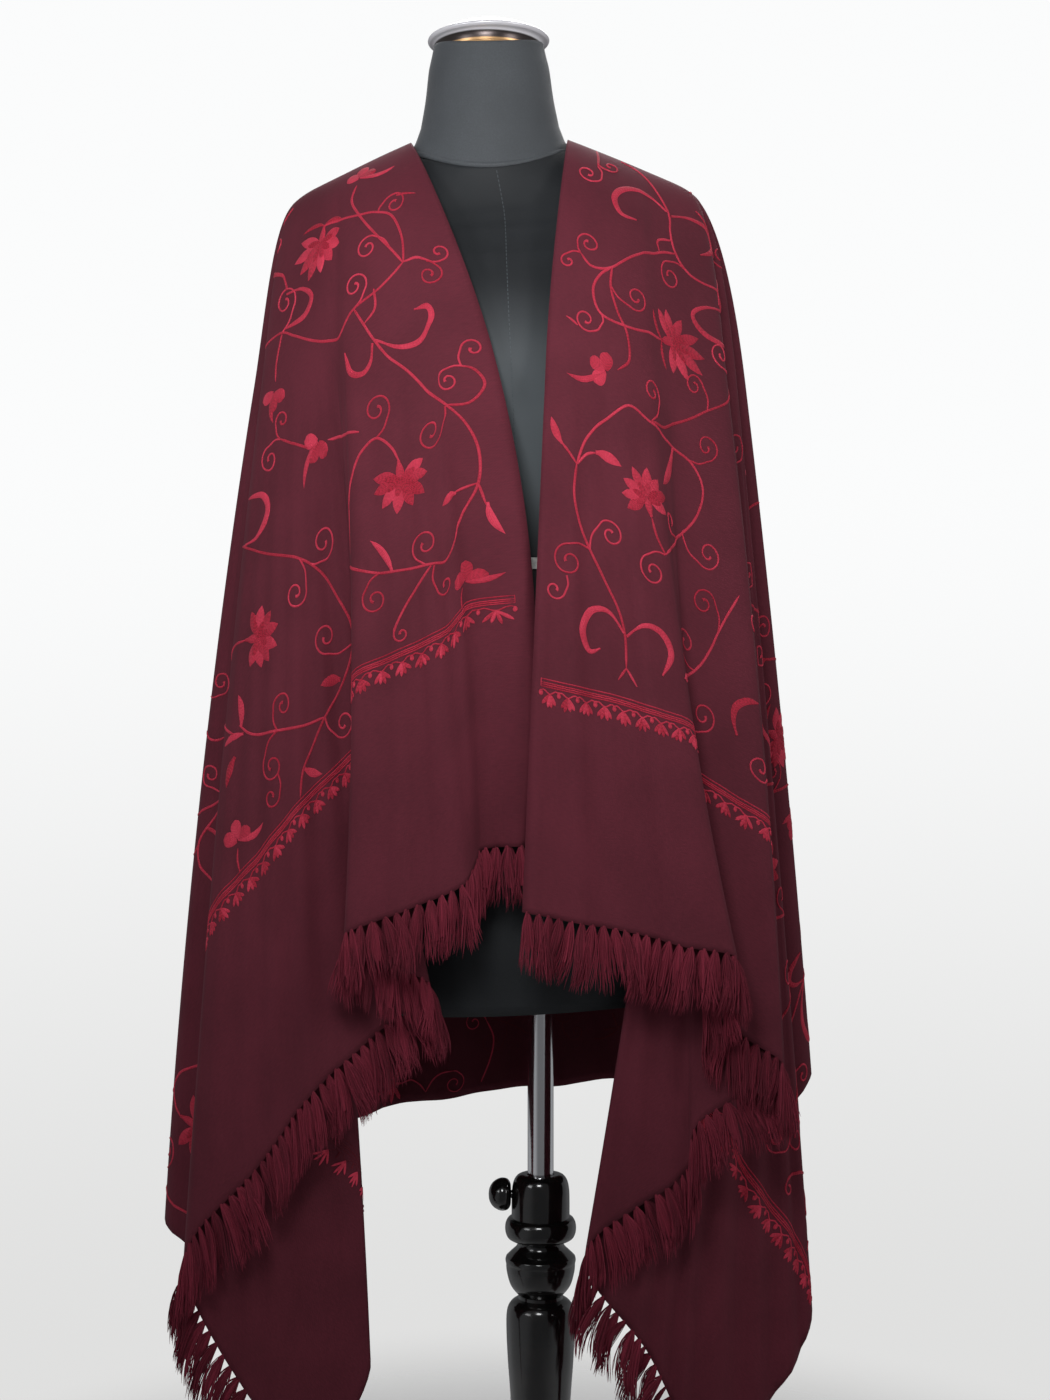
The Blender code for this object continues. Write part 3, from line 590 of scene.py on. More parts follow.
def covering(name, light, dark, pitch, strength, bust_highlight=None):
    """Plain close cloth stretched over the form, with an optional band of painted highlight across the bust.
    """
    finish = Finish(name, Roughness=0.62, Sheen_Weight=0.15, Sheen_Roughness=0.4,
                    Specular_IOR_Level=0.35)
    place = finish.object_place()
    x, y, z = finish.parts(place)
    weft = finish.wave(z, pitch)
    warp = finish.wave(x + y, pitch)
    cloud = finish.noise(place, 9.0, 3.0)
    speck = finish.noise(place, 700.0, 2.0)
    tone = cloud * 0.6 + speck * 0.4
    colour = finish.mix(finish.smooth(tone, 0.3, 0.75), linear(dark), linear(light))
    if bust_highlight:
        # Painted highlight: the colour is paler in a band across the bust, as if lit from the front.
        pale, low, full, high = bust_highlight
        highlight_band = finish.smooth(z, low, full) * (1.0 - finish.smooth(z, full, high))
        colour = finish.mix(highlight_band * 0.8, colour, linear(pale))
    finish.set("Base Color", colour)
    finish.set("Roughness", 0.52 + speck * 0.2)
    finish.bump(weft * warp * 0.5 + speck, strength, 0.0004)
    return finish.material


def webbing(name, colour):
    """Narrow woven tape with ribs across it."""
    finish = Finish(name, Roughness=0.75, Specular_IOR_Level=0.25)
    place = finish.object_place()
    x, y, z = finish.parts(place)
    rib = finish.wave(x + y, 0.0016) * 0.5 + 0.5
    cord = finish.wave(z, 0.0026) * 0.5 + 0.5
    lint = finish.noise(place, 800.0, 2.0)
    tone = rib * 0.4 + cord * 0.2 + lint * 0.5
    finish.set("Base Color", finish.mix(finish.smooth(tone, 0.2, 0.9), darker(colour, 0.6), linear(colour)))
    finish.set("Roughness", 0.66 + lint * 0.2)
    finish.bump(rib + lint * 0.4, 0.5, 0.0004)
    return finish.material


def satin(name, colour):
    """Smooth woven label cloth."""
    finish = Finish(name, Roughness=0.42, Specular_IOR_Level=0.4)
    place = finish.object_place()
    _, _, z = finish.parts(place)
    float_thread = finish.wave(z, 0.0007) * 0.5 + 0.5
    grime = finish.noise(place, 160.0, 3.0)
    soiled = finish.smooth(grime, 0.35, 0.7)
    finish.set("Base Color", finish.mix(soiled, linear(colour), darker(colour, 0.82)))
    finish.set("Roughness", 0.36 + grime * 0.2)
    finish.bump(float_thread + grime * 0.5, 0.25, 0.0002)
    return finish.material


PLATE_BRIGHT = (0.84, 0.84, 0.86, 1.0)
PLATE_SILVER = (0.74, 0.73, 0.76, 1.0)
# Painted shade under the neck cap's rim.
PLATE_RIM_SHADE = (0.075, 0.062, 0.060, 1.0)
PLATE_BRASS = (0.52, 0.31, 0.14, 1.0)


def plated(name, polish, rim=None):
    """Bright plate with faint turning marks and smears that take off some of its polish; painted shade under
    a rim, and below it a band worn through to brass.
    """
    finish = Finish(name, Metallic=1.0, Base_Color=PLATE_BRIGHT)
    place = finish.object_place()
    x, y, z = finish.parts(place)
    rings = finish.noise(finish.joined(x * 4.0, y * 4.0, z * 900.0), 1.0, 2.0)
    smear = finish.noise(place, 30.0, 3.0)
    if rim:
        # Below the rim the plate is painted dark as the rim's painted shade; lower down it is worn through
        # to brass.
        level = z - rim
        rim_shade = 1.0 - finish.smooth(level, -0.0012, 0.0004)
        under = finish.mix(rim_shade, PLATE_SILVER, PLATE_RIM_SHADE)
        worn = 1.0 - finish.smooth(level + rings * 0.0006, -0.0072, -0.0060)
        finish.set("Base Color", finish.mix(worn, under, PLATE_BRASS))
        finish.set("Metallic", 0.25 + rim_shade * 0.7 - worn * 0.35)
    finish.set("Roughness", polish + rings * 0.10 + smear * 0.07)
    finish.bump(rings, 0.06, 0.0003)
    return finish.material


def black_gloss(name, colour):
    """Gloss black lacquer over turned wood, the grain just telegraphing through."""
    finish = Finish(name, Roughness=0.16, Coat_Weight=0.6, Coat_Roughness=0.06)
    place = finish.object_place()
    x, y, z = finish.parts(place)
    grain = finish.noise(finish.joined(x * 240.0, y * 240.0, z * 14.0), 1.0, 3.0)
    dust = finish.noise(place, 60.0, 4.0)
    deep = linear(colour)
    warm = linear((colour[0] * 1.9, colour[1] * 1.7, colour[2] * 1.6))
    finish.set("Base Color", finish.mix(finish.smooth(dust, 0.45, 0.8), deep, warm))
    finish.set("Roughness", 0.12 + grain * 0.06 + finish.smooth(dust, 0.5, 0.8) * 0.10)
    finish.bump(grain, 0.05, 0.0004)
    return finish.material


# ---- building helpers -----------------------------------------------------------------------

WELD = 1e-6
CRISP_DEG = 32.0


def colour_setting(name, description, default):
    """A colour setting of the panel."""
    return bpy.props.FloatVectorProperty(name=name, description=description, subtype="COLOR",
                                         default=default, min=0.0, max=1.0)


def length_setting(name, description, default, low, high):
    """A setting of the panel that is a length."""
    return bpy.props.FloatProperty(name=name, description=description, default=default,
                                   min=low, max=high, unit="LENGTH")


def count_setting(name, description, default, low, high):
    """A setting of the panel that is a whole number."""
    return bpy.props.IntProperty(name=name, description=description, default=default, min=low, max=high)


def linked(name, data):
    """A new object in the scene."""
    item = bpy.data.objects.new(name, data)
    bpy.context.scene.collection.objects.link(item)
    return item


def meshed(name, bm, material):
    """A new object with a bmesh's shape and one material."""
    mesh = bpy.data.meshes.new(name)
    bm.to_mesh(mesh)
    bm.free()
    mesh.materials.append(material)
    return linked(name, mesh)


def finished(name, bm, material, body, slot_name, *replaced):
    """Turn a bmesh into a piece that rides on a body and stands for CAD nodes."""
    piece = meshed(name, bm, material)
    piece.data.shade_smooth()
    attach(piece, body)
    if replaced:
        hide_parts(*replaced)
    return piece


def weld(bm, distance=WELD):
    """Merge a grid's doubled edges and turn its faces outwards."""
    bmesh.ops.remove_doubles(bm, verts=bm.verts, dist=distance)
    bmesh.ops.recalc_face_normals(bm, faces=bm.faces)


def grid_strip(bm, across, along):
    """A grid of vertices by column and row, from Blender's own grid."""
    made = bmesh.ops.create_grid(bm, x_segments=across - 1, y_segments=along - 1, size=1.0)
    grid = {}
    for vert in made["verts"]:
        column = round((vert.co.x + 1.0) * 0.5 * (across - 1))
        row = round((vert.co.y + 1.0) * 0.5 * (along - 1))
        grid[column, row] = vert
    return grid


def rounded(profile, steps=4):
    """A turned profile with a curve through its soft points; a row ending in 1 is a corner."""
    points = []
    for index, (radius, height, corner) in enumerate(profile):
        points.append((radius, height))
        if index + 1 == len(profile):
            break
        here = Vector((radius, height))
        there = Vector(profile[index + 1][:2])
        before = Vector(profile[index - 1][:2]) if index and not corner else here
        after = there
        if index + 2 < len(profile) and not profile[index + 1][2]:
            after = Vector(profile[index + 2][:2])
        if corner and profile[index + 1][2]:
            continue
        for step in range(1, steps):
            share = step / steps
            spot = hermite(here, (there - before) * 0.5, there, (after - here) * 0.5, share)
            points.append((max(spot.x, 0.0), spot.y))
    return points


def lathe(bm, profile, sides, place):
    """Turn a profile of radius and height about Z and close it."""
    verts = [bm.verts.new((radius, 0.0, height)) for radius, height in profile]
    edges = [bm.edges.new(pair) for pair in zip(verts, verts[1:])]
    if profile[0][0] > 0.0 and profile[-1] != profile[0]:
        edges.append(bm.edges.new((verts[-1], verts[0])))
    bmesh.ops.spin(bm, geom=verts + edges, cent=(0, 0, 0), axis=(0, 0, 1), dvec=(0, 0, 0),
                   angle=2.0 * math.pi, steps=sides, use_merge=True)
    weld(bm)
    bmesh.ops.transform(bm, matrix=place, verts=bm.verts)


def turned(name, profile, sides, place, material, *riding):
    """A piece turned from a profile, with crisp corners."""
    bm = bmesh.new()
    lathe(bm, rounded(profile), sides, place)
    piece = finished(name, bm, material, *riding)
    piece.data.set_sharp_from_angle(angle=math.radians(CRISP_DEG))


# ---- the dress form and its stand -----------------------------------------------------------

FORM_BASE_Z = 0.600
FORM_TILT_DEG = 3.2
NECK_UPRIGHT_DEG = 2.3
NECK_FOOT = 0.845
FORM_SHIFT_X = -0.003
SOCKET_DEPTH = 0.090
TORSO_SIDES = 120
NECK_SIDES = 96
SEAM_ANGLES = (-86.5, 0.0, 90.0, 180.0)
SEAM_LIFT = 0.0002
STITCH_RISE = 0.00035
STITCH_SINK = 0.0001
STITCH_HALF_WIDTH = 0.00035
STITCH_SHARE = 0.6
HEM_SIDES = 120
HEM_ROWS = 6
HEM_RIPPLE = 0.00012
HEM_SINK = 0.0012
HEM_ROLL = 0.0022
HEM_RISE = 0.0006
HEM_HALF = 0.0030
# Heights at which the painted highlight across the torso's bust begins, is strongest and ends again.
BUST_HIGHLIGHT_HEIGHTS = (1.02, 1.14, 1.31)
Section = namedtuple("Section", "height half_width front back dip")
FORM_SECTIONS = (
    Section(0.000, 0.160, 0.094, 0.110, 0.0),
    Section(0.060, 0.168, 0.102, 0.124, 0.0),
    Section(0.140, 0.168, 0.102, 0.126, 0.0),
    Section(0.250, 0.150, 0.096, 0.112, 0.0),
    Section(0.350, 0.122, 0.086, 0.092, 0.0),
    Section(0.430, 0.113, 0.083, 0.084, 0.0),
    Section(0.510, 0.122, 0.092, 0.090, 0.0),
    Section(0.580, 0.139, 0.113, 0.098, 0.0),
    Section(0.625, 0.147, 0.124, 0.102, 0.0),
    Section(0.680, 0.154, 0.114, 0.102, 0.0),
    Section(0.730, 0.166, 0.094, 0.092, 0.004),
    Section(0.765, 0.176, 0.078, 0.078, 0.010),
    Section(0.788, 0.170, 0.070, 0.066, 0.016),
    Section(0.808, 0.146, 0.066, 0.060, 0.022),
    Section(0.826, 0.112, 0.064, 0.060, 0.023),
    Section(0.845, 0.080, 0.064, 0.061, 0.027),
)
NECK_SECTIONS = (
    Section(0.8455, 0.0805, 0.0640, 0.0610, 0.0265),
    Section(0.858, 0.0745, 0.0620, 0.0595, 0.022),
    Section(0.872, 0.0692, 0.0606, 0.0586, 0.015),
    Section(0.900, 0.0640, 0.0586, 0.0570, 0.006),
    Section(0.930, 0.0602, 0.0560, 0.0550, 0.007),
    Section(0.954, 0.0552, 0.0532, 0.0530, 0.011),
)
CAP_HEIGHT = 0.9545
CAP_PROFILE = ((0.000, 0.0215, 0), (0.014, 0.0210, 0), (0.028, 0.0192, 0), (0.040, 0.0160, 0),
               (0.050, 0.0118, 0), (0.0570, 0.0082, 1), (0.0600, 0.0066, 0), (0.0607, 0.0046, 0),
               (0.0590, 0.0026, 1), (0.0550, 0.0010, 0), (0.0528, -0.0030, 0), (0.0520, -0.0090, 1),
               (0.0527, -0.0100, 0), (0.0520, -0.0112, 1), (0.0515, -0.0180, 1), (0.000, -0.0180, 1))
POLE_RADIUS = 0.013
POLE_FOOT = 0.110
POLE_CLEARANCE = 0.0006
KNOB_SIDES = 64
BASE_SIDES = 128
COLUMN_PROFILE = ((0.0137, 0.4260, 1), (0.0185, 0.4262, 1), (0.0232, 0.4246, 0), (0.0268, 0.4195, 0),
                  (0.0286, 0.4110, 0), (0.0290, 0.3990, 0), (0.0290, 0.3836, 1), (0.0328, 0.3818, 0),
                  (0.0352, 0.3765, 0), (0.0352, 0.3692, 0), (0.0325, 0.3632, 0), (0.0262, 0.3604, 1),
                  (0.0230, 0.3580, 0), (0.0246, 0.3536, 0), (0.0300, 0.3484, 0), (0.0345, 0.3440, 1),
                  (0.0352, 0.3410, 0), (0.0345, 0.3376, 1), (0.0338, 0.3290, 0), (0.0300, 0.3160, 0),
                  (0.0222, 0.3060, 1), (0.0226, 0.3030, 1), (0.0300, 0.2980, 0), (0.0338, 0.2890, 0),
                  (0.0342, 0.2700, 0), (0.0328, 0.2400, 0), (0.0300, 0.2000, 0), (0.0275, 0.1350, 0),
                  (0.0285, 0.1000, 1),
                  (0.0340, 0.0840, 0), (0.0300, 0.0740, 1), (0.0420, 0.0600, 0), (0.0560, 0.0400, 0),
                  (0.0580, 0.0283, 1), (0.0000, 0.0283, 1), (0.0000, 0.0500, 1), (0.0137, 0.0500, 1))
BASE_PROFILE = ((0.0000, 0.0280, 1), (0.0900, 0.0280, 0), (0.1300, 0.0265, 0), (0.1700, 0.0215, 0),
                (0.1860, 0.0170, 0), (0.1900, 0.0120, 0), (0.1880, 0.0040, 0), (0.1840, 0.0000, 1),
                (0.0000, 0.0000, 1))
SCREW_Z = 0.4060
KNOB_PROFILE = ((0.0000, 0.0520, 0), (0.0060, 0.0512, 0), (0.0115, 0.0480, 0), (0.0150, 0.0430, 0),
                (0.0162, 0.0380, 0), (0.0150, 0.0330, 0), (0.0110, 0.0302, 0), (0.0060, 0.0296, 1),
                (0.0040, 0.0296, 1), (0.0040, 0.0134, 1), (0.0000, 0.0134, 1))


def form_place():
    turn = Matrix.Rotation(math.radians(-FORM_TILT_DEG), 4, "Y")
    return Matrix.Translation((FORM_SHIFT_X, 0.0, FORM_BASE_Z)) @ turn


def neck_place():
    """The neck and cap lean less than the torso below them."""
    upright = Matrix.Rotation(math.radians(NECK_UPRIGHT_DEG), 4, "Y")
    return (form_place() @ Matrix.Translation((0.0, 0.0, NECK_FOOT)) @ upright
            @ Matrix.Translation((0.0, 0.0, -NECK_FOOT)))


def fine_sections(sections, steps):
    """A section table with more rows, curved through the given ones."""
    fine = []
    for index in range(len(sections) - 1):
        rows = [sections[max(index - 1, 0)], sections[index], sections[index + 1],
                sections[min(index + 2, len(sections) - 1)]]
        for step in range(steps):
            share = step / steps
            square = share * share
            cube = square * share
            weights = (-0.5 * cube + square - 0.5 * share, 1.5 * cube - 2.5 * square + 1.0,
                       -1.5 * cube + 2.0 * square + 0.5 * share, 0.5 * cube - 0.5 * square)
            values = [sum(w * row[field] for w, row in zip(weights, rows)) for field in range(5)]
            values[0] = rows[1].height + (rows[2].height - rows[1].height) * share
            fine.append(Section(*values))
    return fine + [sections[-1]]


def section_point(section, angle, grow=0.0):
    depth = section.back if math.sin(angle) > 0 else section.front
    forward = max(-math.sin(angle), 0.0)
    return Vector(((section.half_width + grow) * math.cos(angle), (depth + grow) * math.sin(angle),
                   section.height - section.dip * forward * forward))


def padded_skin(sections, sides, place):
    """A closed skin over a stack of sections."""
    bm = bmesh.new()
    grid = grid_strip(bm, sides + 1, len(sections))
    for (column, row), vert in grid.items():
        vert.co = place @ section_point(sections[row], 2.0 * math.pi * column / sides)
    bmesh.ops.remove_doubles(bm, verts=bm.verts, dist=WELD)
    bmesh.ops.holes_fill(bm, edges=[edge for edge in bm.edges if edge.is_boundary])
    bmesh.ops.recalc_face_normals(bm, faces=bm.faces)
    return bm


class ShawlFormSettings(bpy.types.PropertyGroup):
    torso_light: colour_setting("Torso cloth", "Torso cloth where it is lightest", (0.150, 0.160, 0.172))
    torso_dark: colour_setting("Torso cloth, dark",
                               "Torso cloth where it is darkest", (0.100, 0.110, 0.120))
    # Colour of the painted highlight across the bust.
    torso_bust_highlight: colour_setting("Torso cloth, stretched",
                                    "Torso cloth where the bust stretches it", (0.39, 0.415, 0.43))
    neck_light: colour_setting("Neck cloth", "Neck cloth where it is lightest", (0.325, 0.34, 0.355))
    neck_dark: colour_setting("Neck cloth, dark", "Neck cloth where it is darkest", (0.26, 0.272, 0.285))
    tape: colour_setting("Waist tape", "Woven tape round the waist", (0.16, 0.16, 0.17))
    label: colour_setting("Label", "Blank label on the waist tape", (0.88, 0.88, 0.86))
    stitch: colour_setting("Seam thread", "Thread of the form's seams", (0.36, 0.39, 0.41))
    stitch_pitch: length_setting("Stitch pitch",
                                 "Length of one stitch of the torso's seams", 0.0045, 0.002, 0.02)


class SHAWL_OT_dress_form(bpy.types.Operator):
    """Build the padded torso with its seams, the neck and its hem; give the waist tape and its blank label
    their finishes
    """
    bl_idname = "shawl.dress_form"
    bl_label = "Dress form"

    def execute(self, context):
        settings = context.scene.shawl_form
        place = form_place()
        torso_cloth = covering("torso_cloth", settings.torso_light, settings.torso_dark, 0.0011, 0.25,
                               (settings.torso_bust_highlight, *BUST_HIGHLIGHT_HEIGHTS))
        neck_cloth = covering("neck_cloth", settings.neck_light, settings.neck_dark, 0.0012, 0.3)
        sections = fine_sections(FORM_SECTIONS, 6)
        finished("form_torso_skin", padded_skin(sections, TORSO_SIDES, place), torso_cloth, "form",
                 "form_cloth", "form_torso")
        neck = padded_skin(fine_sections(NECK_SECTIONS, 8), NECK_SIDES, neck_place())
        finished("form_neck_skin", neck, neck_cloth, "form", "neck_cloth", "form_neck")
        thread = Finish("seam_thread", Roughness=0.7)
        lint = thread.noise(thread.object_place(), 900.0, 2.0)
        thread.set("Base Color", thread.mix(lint, darker(settings.stitch, 0.6), linear(settings.stitch)))
        bm = bmesh.new()
        for angle in SEAM_ANGLES:
            self.seam(bm, sections, math.radians(angle), place, settings.stitch_pitch)
        finished("form_seams", bm, thread.material, "form", "form_cloth")
        bm = bmesh.new()
        self.neck_hem(bm, neck_place())
        finished("neck_hem", bm, neck_cloth, "form", "neck_cloth")
        self.repaint("waist_tape", webbing("waist_webbing", settings.tape))
        self.repaint("tape_label", satin("blank_label", settings.label))
        return {"FINISHED"}

    def seam(self, bm, sections, angle, place, pitch):
        """Short raised stitches down the torso at one angle round it."""
        spots = [place @ section_point(section, angle, SEAM_LIFT) for section in sections[3:-1]]
        out = place.to_3x3() @ Vector((math.cos(angle), math.sin(angle), 0.0))
        run = 0.0
        for a, b in zip(spots, spots[1:]):
            span = (b - a).length
            along = (b - a).normalized()
            side = along.cross(out).normalized()
            while run < span:
                middle = a.lerp(b, run / span)
                stitch = grid_strip(bm, 3, 4)
                for (column, row), vert in stitch.items():
                    rise = STITCH_RISE if column == 1 and row in (1, 2) else -STITCH_SINK
                    vert.co = (middle + along * ((row / 3 - 0.5) * pitch * STITCH_SHARE)
                               + side * ((column - 1) * STITCH_HALF_WIDTH) + out * rise)
                run += pitch
            run -= span

    def neck_hem(self, bm, place):
        """The turned lower edge of the neck's cover."""
        ring = grid_strip(bm, HEM_SIDES + 1, HEM_ROWS)
        for (column, row), vert in ring.items():
            angle = 2.0 * math.pi * column / HEM_SIDES
            turn = math.pi * (0.15 + 0.7 * row / (HEM_ROWS - 1))
            ripple = HEM_RIPPLE * math.sin(column * 2.1)
            grow = -HEM_SINK + HEM_ROLL * math.sin(turn) + ripple
            spot = section_point(NECK_SECTIONS[0], angle, grow)
            vert.co = place @ (spot + Vector((0.0, 0.0, HEM_RISE - HEM_HALF * math.cos(turn))))
        weld(bm)

    def repaint(self, node, material):
        """Give a CAD node that keeps its shape its finish."""
        item = bpy.data.objects[node]
        if not item.material_slots:
            item.data.materials.append(material)
        for slot in item.material_slots:
            slot.material = material


class ShawlStandSettings(bpy.types.PropertyGroup):
    lacquer: colour_setting("Lacquer", "Colour of the turned column's lacquer", (0.055, 0.050, 0.050))
    sides: count_setting("Sides", "Sides of each turned piece", 96, 24, 256)


class SHAWL_OT_stand(bpy.types.Operator):
    """Turn the neck cap, the pole, the column, the knob and the base"""
    bl_idname = "shawl.stand"
    bl_label = "Cap, pole and stand"

    def execute(self, context):
        settings = context.scene.shawl_stand
        chrome = plated("chrome_plate", 0.07)
        silvered = plated("cap_plate", 0.24, (neck_place() @ Vector((0.0, 0.0, CAP_HEIGHT))).z)
        lacquer = black_gloss("black_lacquer", settings.lacquer)
        sides = settings.sides
        here = Matrix.Identity(4)
        turned("neck_cap_turned", CAP_PROFILE, sides, neck_place() @ Matrix.Translation((0, 0, CAP_HEIGHT)),
               silvered, "form", "chrome", "neck_cap")
        top = FORM_BASE_Z + SOCKET_DEPTH - POLE_CLEARANCE
        tube = ((0.0, top, 1), (POLE_RADIUS, top, 1), (POLE_RADIUS, POLE_FOOT, 1), (0.0, POLE_FOOT, 1))
        turned("pole_tube", tube, sides, here, chrome, "mast", "chrome", "pole")
        turned("column_turned", COLUMN_PROFILE, sides, here, lacquer, "stand", "black_wood", "stand_column")
        level = Matrix.Translation((0, 0, SCREW_Z)) @ Matrix.Rotation(math.radians(-90.0), 4, "Y")
        turned("knob_turned", KNOB_PROFILE, KNOB_SIDES, level, lacquer, "knob", "black_wood", "clamp_knob")
        turned("base_disc", BASE_PROFILE, BASE_SIDES, here, lacquer, "stand", "base_metal", "stand_base")
        return {"FINISHED"}


# ---- the cloth ------------------------------------------------------------------------------

CUT_SCALE = 1.8
CUT_MARGIN_S = 90.0
CUT_MARGIN_T = 5.0
drapes = []


def the_drape():
    if not drapes:
        drapes.append(Drape())
    return drapes[0]


class ShawlClothSettings(bpy.types.PropertyGroup):
    thickness: length_setting("Thickness", "Thickness of the wool cloth", 0.0012, 0.0003, 0.003)
    light: colour_setting("Cloth", "Wool cloth where it is lightest", (0.395, 0.148, 0.200))
    dark: colour_setting("Cloth, dark", "Wool cloth where it is darkest", (0.325, 0.115, 0.160))


class SHAWL_OT_cloth(bpy.types.Operator):
    """Hang the shawl's cloth as one continuous sheet with its flat cut as a UV map"""
    bl_idname = "shawl.cloth"
    bl_label = "Shawl cloth"

    def execute(self, context):
        settings = context.scene.shawl_cloth
        drape = the_drape()
        columns = len(drape.columns)
        rows = len(drape.columns[0])
        bm = bmesh.new()
        grid = grid_strip(bm, columns, rows)
        order = [None] * (columns * rows)
        for (column, row), vert in grid.items():
            vert.co = drape.points[column * rows + row]
            order[column * rows + row] = vert
        for face in drape.zips:
            bm.faces.new([order[corner] for corner in face])
        cut = bm.loops.layers.uv.new("Cut")
        place = {vert: drape.cut[index] for index, vert in enumerate(order)}
        for face in bm.faces:
            for loop in face.loops:
                spot = place[loop.vert]
                loop[cut].uv = ((spot.x + CUT_MARGIN_S) * CM / CUT_SCALE,
                                (spot.y + CUT_MARGIN_T) * CM / CUT_SCALE)
        bmesh.ops.recalc_face_normals(bm, faces=bm.faces)
        near_hem = (len(LEFT_FRONT) * 2) * rows + rows - 2
        order[near_hem].normal_update()
        if order[near_hem].normal.dot(drape.normals[near_hem]) < 0.0:
            bmesh.ops.reverse_faces(bm, faces=bm.faces)
        right = wool_twill("wool_twill", settings.light, settings.dark, CUT_SCALE, 0.05)
        nodes = [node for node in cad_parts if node.startswith("shawl_")]
        piece = finished("shawl_cloth", bm, right, "form", "shawl", *nodes)
        wall = piece.modifiers.new("Wall", "SOLIDIFY")
        wall.thickness = settings.thickness
        wall.offset = 0.0
        return {"FINISHED"}


# ---- the embroidery -------------------------------------------------------------------------

# The vines are laid out on the flat cut in centimetres: down a shoulder from the nape's centre,
# and out from the neck edge.  A heading is in degrees, from down towards out.
Stem = namedtuple("Stem", "points")
Curl = namedtuple("Curl", "root eye radius hand")
Flower = namedtuple("Flower", "root heading size sepals")
Posy = namedtuple("Posy", "centre heading leaf")
Crook = namedtuple("Crook", "points width")
Leaf = namedtuple("Leaf", "root tip width")

LEFT_PANEL = (
    Stem(((28.5, 4.5), (26.0, 4.0), (23.2, 4.4), (21.8, 5.7), (20.8, 7.2), (19.4, 9.4), (18.4, 11.6))),
    Stem(((28.5, 4.6), (26.6, 5.3), (23.4, 6.5), (20.6, 7.2), (18.4, 7.5), (16.8, 6.7))),
    Stem(((28.5, 4.5), (29.0, 3.0), (30.0, 1.7))),
    Stem(((28.5, 4.5), (29.6, 7.0), (30.0, 9.5), (30.9, 11.3), (30.5, 13.2), (28.4, 16.3), (25.6, 18.4),
          (23.4, 19.6), (21.8, 22.0))),
    Stem(((30.0, 9.5), (31.8, 9.1), (34.0, 8.6), (36.0, 7.9), (38.2, 6.5), (41.0, 4.9), (43.5, 3.0),
          (45.4, 2.1), (48.0, 1.7), (51.0, 2.0), (53.2, 3.0), (55.2, 4.3), (56.0, 5.8), (55.5, 7.5),
          (55.0, 9.6), (54.5, 11.5), (53.9, 13.0), (52.6, 15.0), (51.0, 17.0))),
    Stem(((29.4, 7.6), (31.2, 7.9), (32.0, 9.0))),
    Stem(((43.5, 3.0), (43.7, 1.7), (42.3, 0.8), (40.8, 1.1), (40.2, 1.8))),
    Stem(((55.6, 7.7), (57.2, 10.0), (59.0, 11.8), (60.0, 12.4))),
    Stem(((45.4, 8.9), (44.0, 9.3), (42.5, 10.4), (43.0, 11.8), (44.2, 13.0), (46.5, 14.8), (51.0, 17.0))),
    Stem(((41.2, 11.6), (38.6, 16.0), (36.8, 19.2))),
    Stem(((21.3, 3.3), (22.0, 1.4))),
    Stem(((23.6, 19.6), (25.4, 21.4), (26.8, 22.2))),
    Curl((22.0, 5.5), (22.1, 3.7), 1.15, 1),
    Curl((26.2, 5.4), (25.0, 7.2), 1.1, -1),
    Curl((30.0, 1.7), (29.1, 1.2), 0.8, -1),
    Curl((29.8, 2.1), (31.2, 2.2), 1.0, 1),
    Curl((30.0, 9.5), (27.9, 9.0), 1.2, -1),
    Curl((23.5, 19.5), (21.2, 18.0), 1.4, -1),
    Curl((40.4, 1.5), (41.4, 2.6), 0.95, -1),
    Curl((40.3, 1.7), (38.9, 0.95), 0.85, 1),
    Curl((43.6, 3.1), (44.6, 5.3), 1.3, 1),
    Curl((42.5, 10.4), (40.1, 9.8), 1.3, -1),
    Curl((55.5, 7.5), (53.6, 7.9), 1.25, 1),
    Curl((54.1, 12.6), (56.2, 13.4), 1.15, -1),
    Curl((59.2, 12.0), (60.1, 11.6), 0.65, -1),
    Curl((55.7, 7.4), (57.9, 6.4), 0.8, -1),
    Flower((18.4, 11.6), 30, 6.6, True),
    Flower((45.4, 8.9), 5, 6.4, False),
    Posy((15.9, 6.2), 205, (17.2, 2.4)),
    Posy((27.6, 22.8), 40, (29.9, 24.2)),
    Posy((59.4, 3.7), 190, (59.2, 1.3)),
    Stem(((61.4, 4.6), (60.4, 4.5), (59.8, 4.1))),
    Crook(((34.0, 8.6), (35.8, 6.8), (36.4, 4.8), (35.6, 3.0), (34.2, 2.9), (33.4, 4.6)), 0.68),
    Crook(((34.2, 8.8), (35.7, 9.3), (36.3, 10.2), (35.4, 11.2), (33.3, 11.4)), 0.6),
    Stem(((51.0, 2.0), (53.0, 1.8))),
    Leaf((52.8, 1.7), (55.8, 1.1), 0.75),
    Stem(((51.0, 2.0), (51.5, 3.8))),
    Leaf((51.5, 3.4), (51.4, 5.3), 0.85),
    Leaf((54.6, 11.4), (51.0, 12.8), 0.7),
)
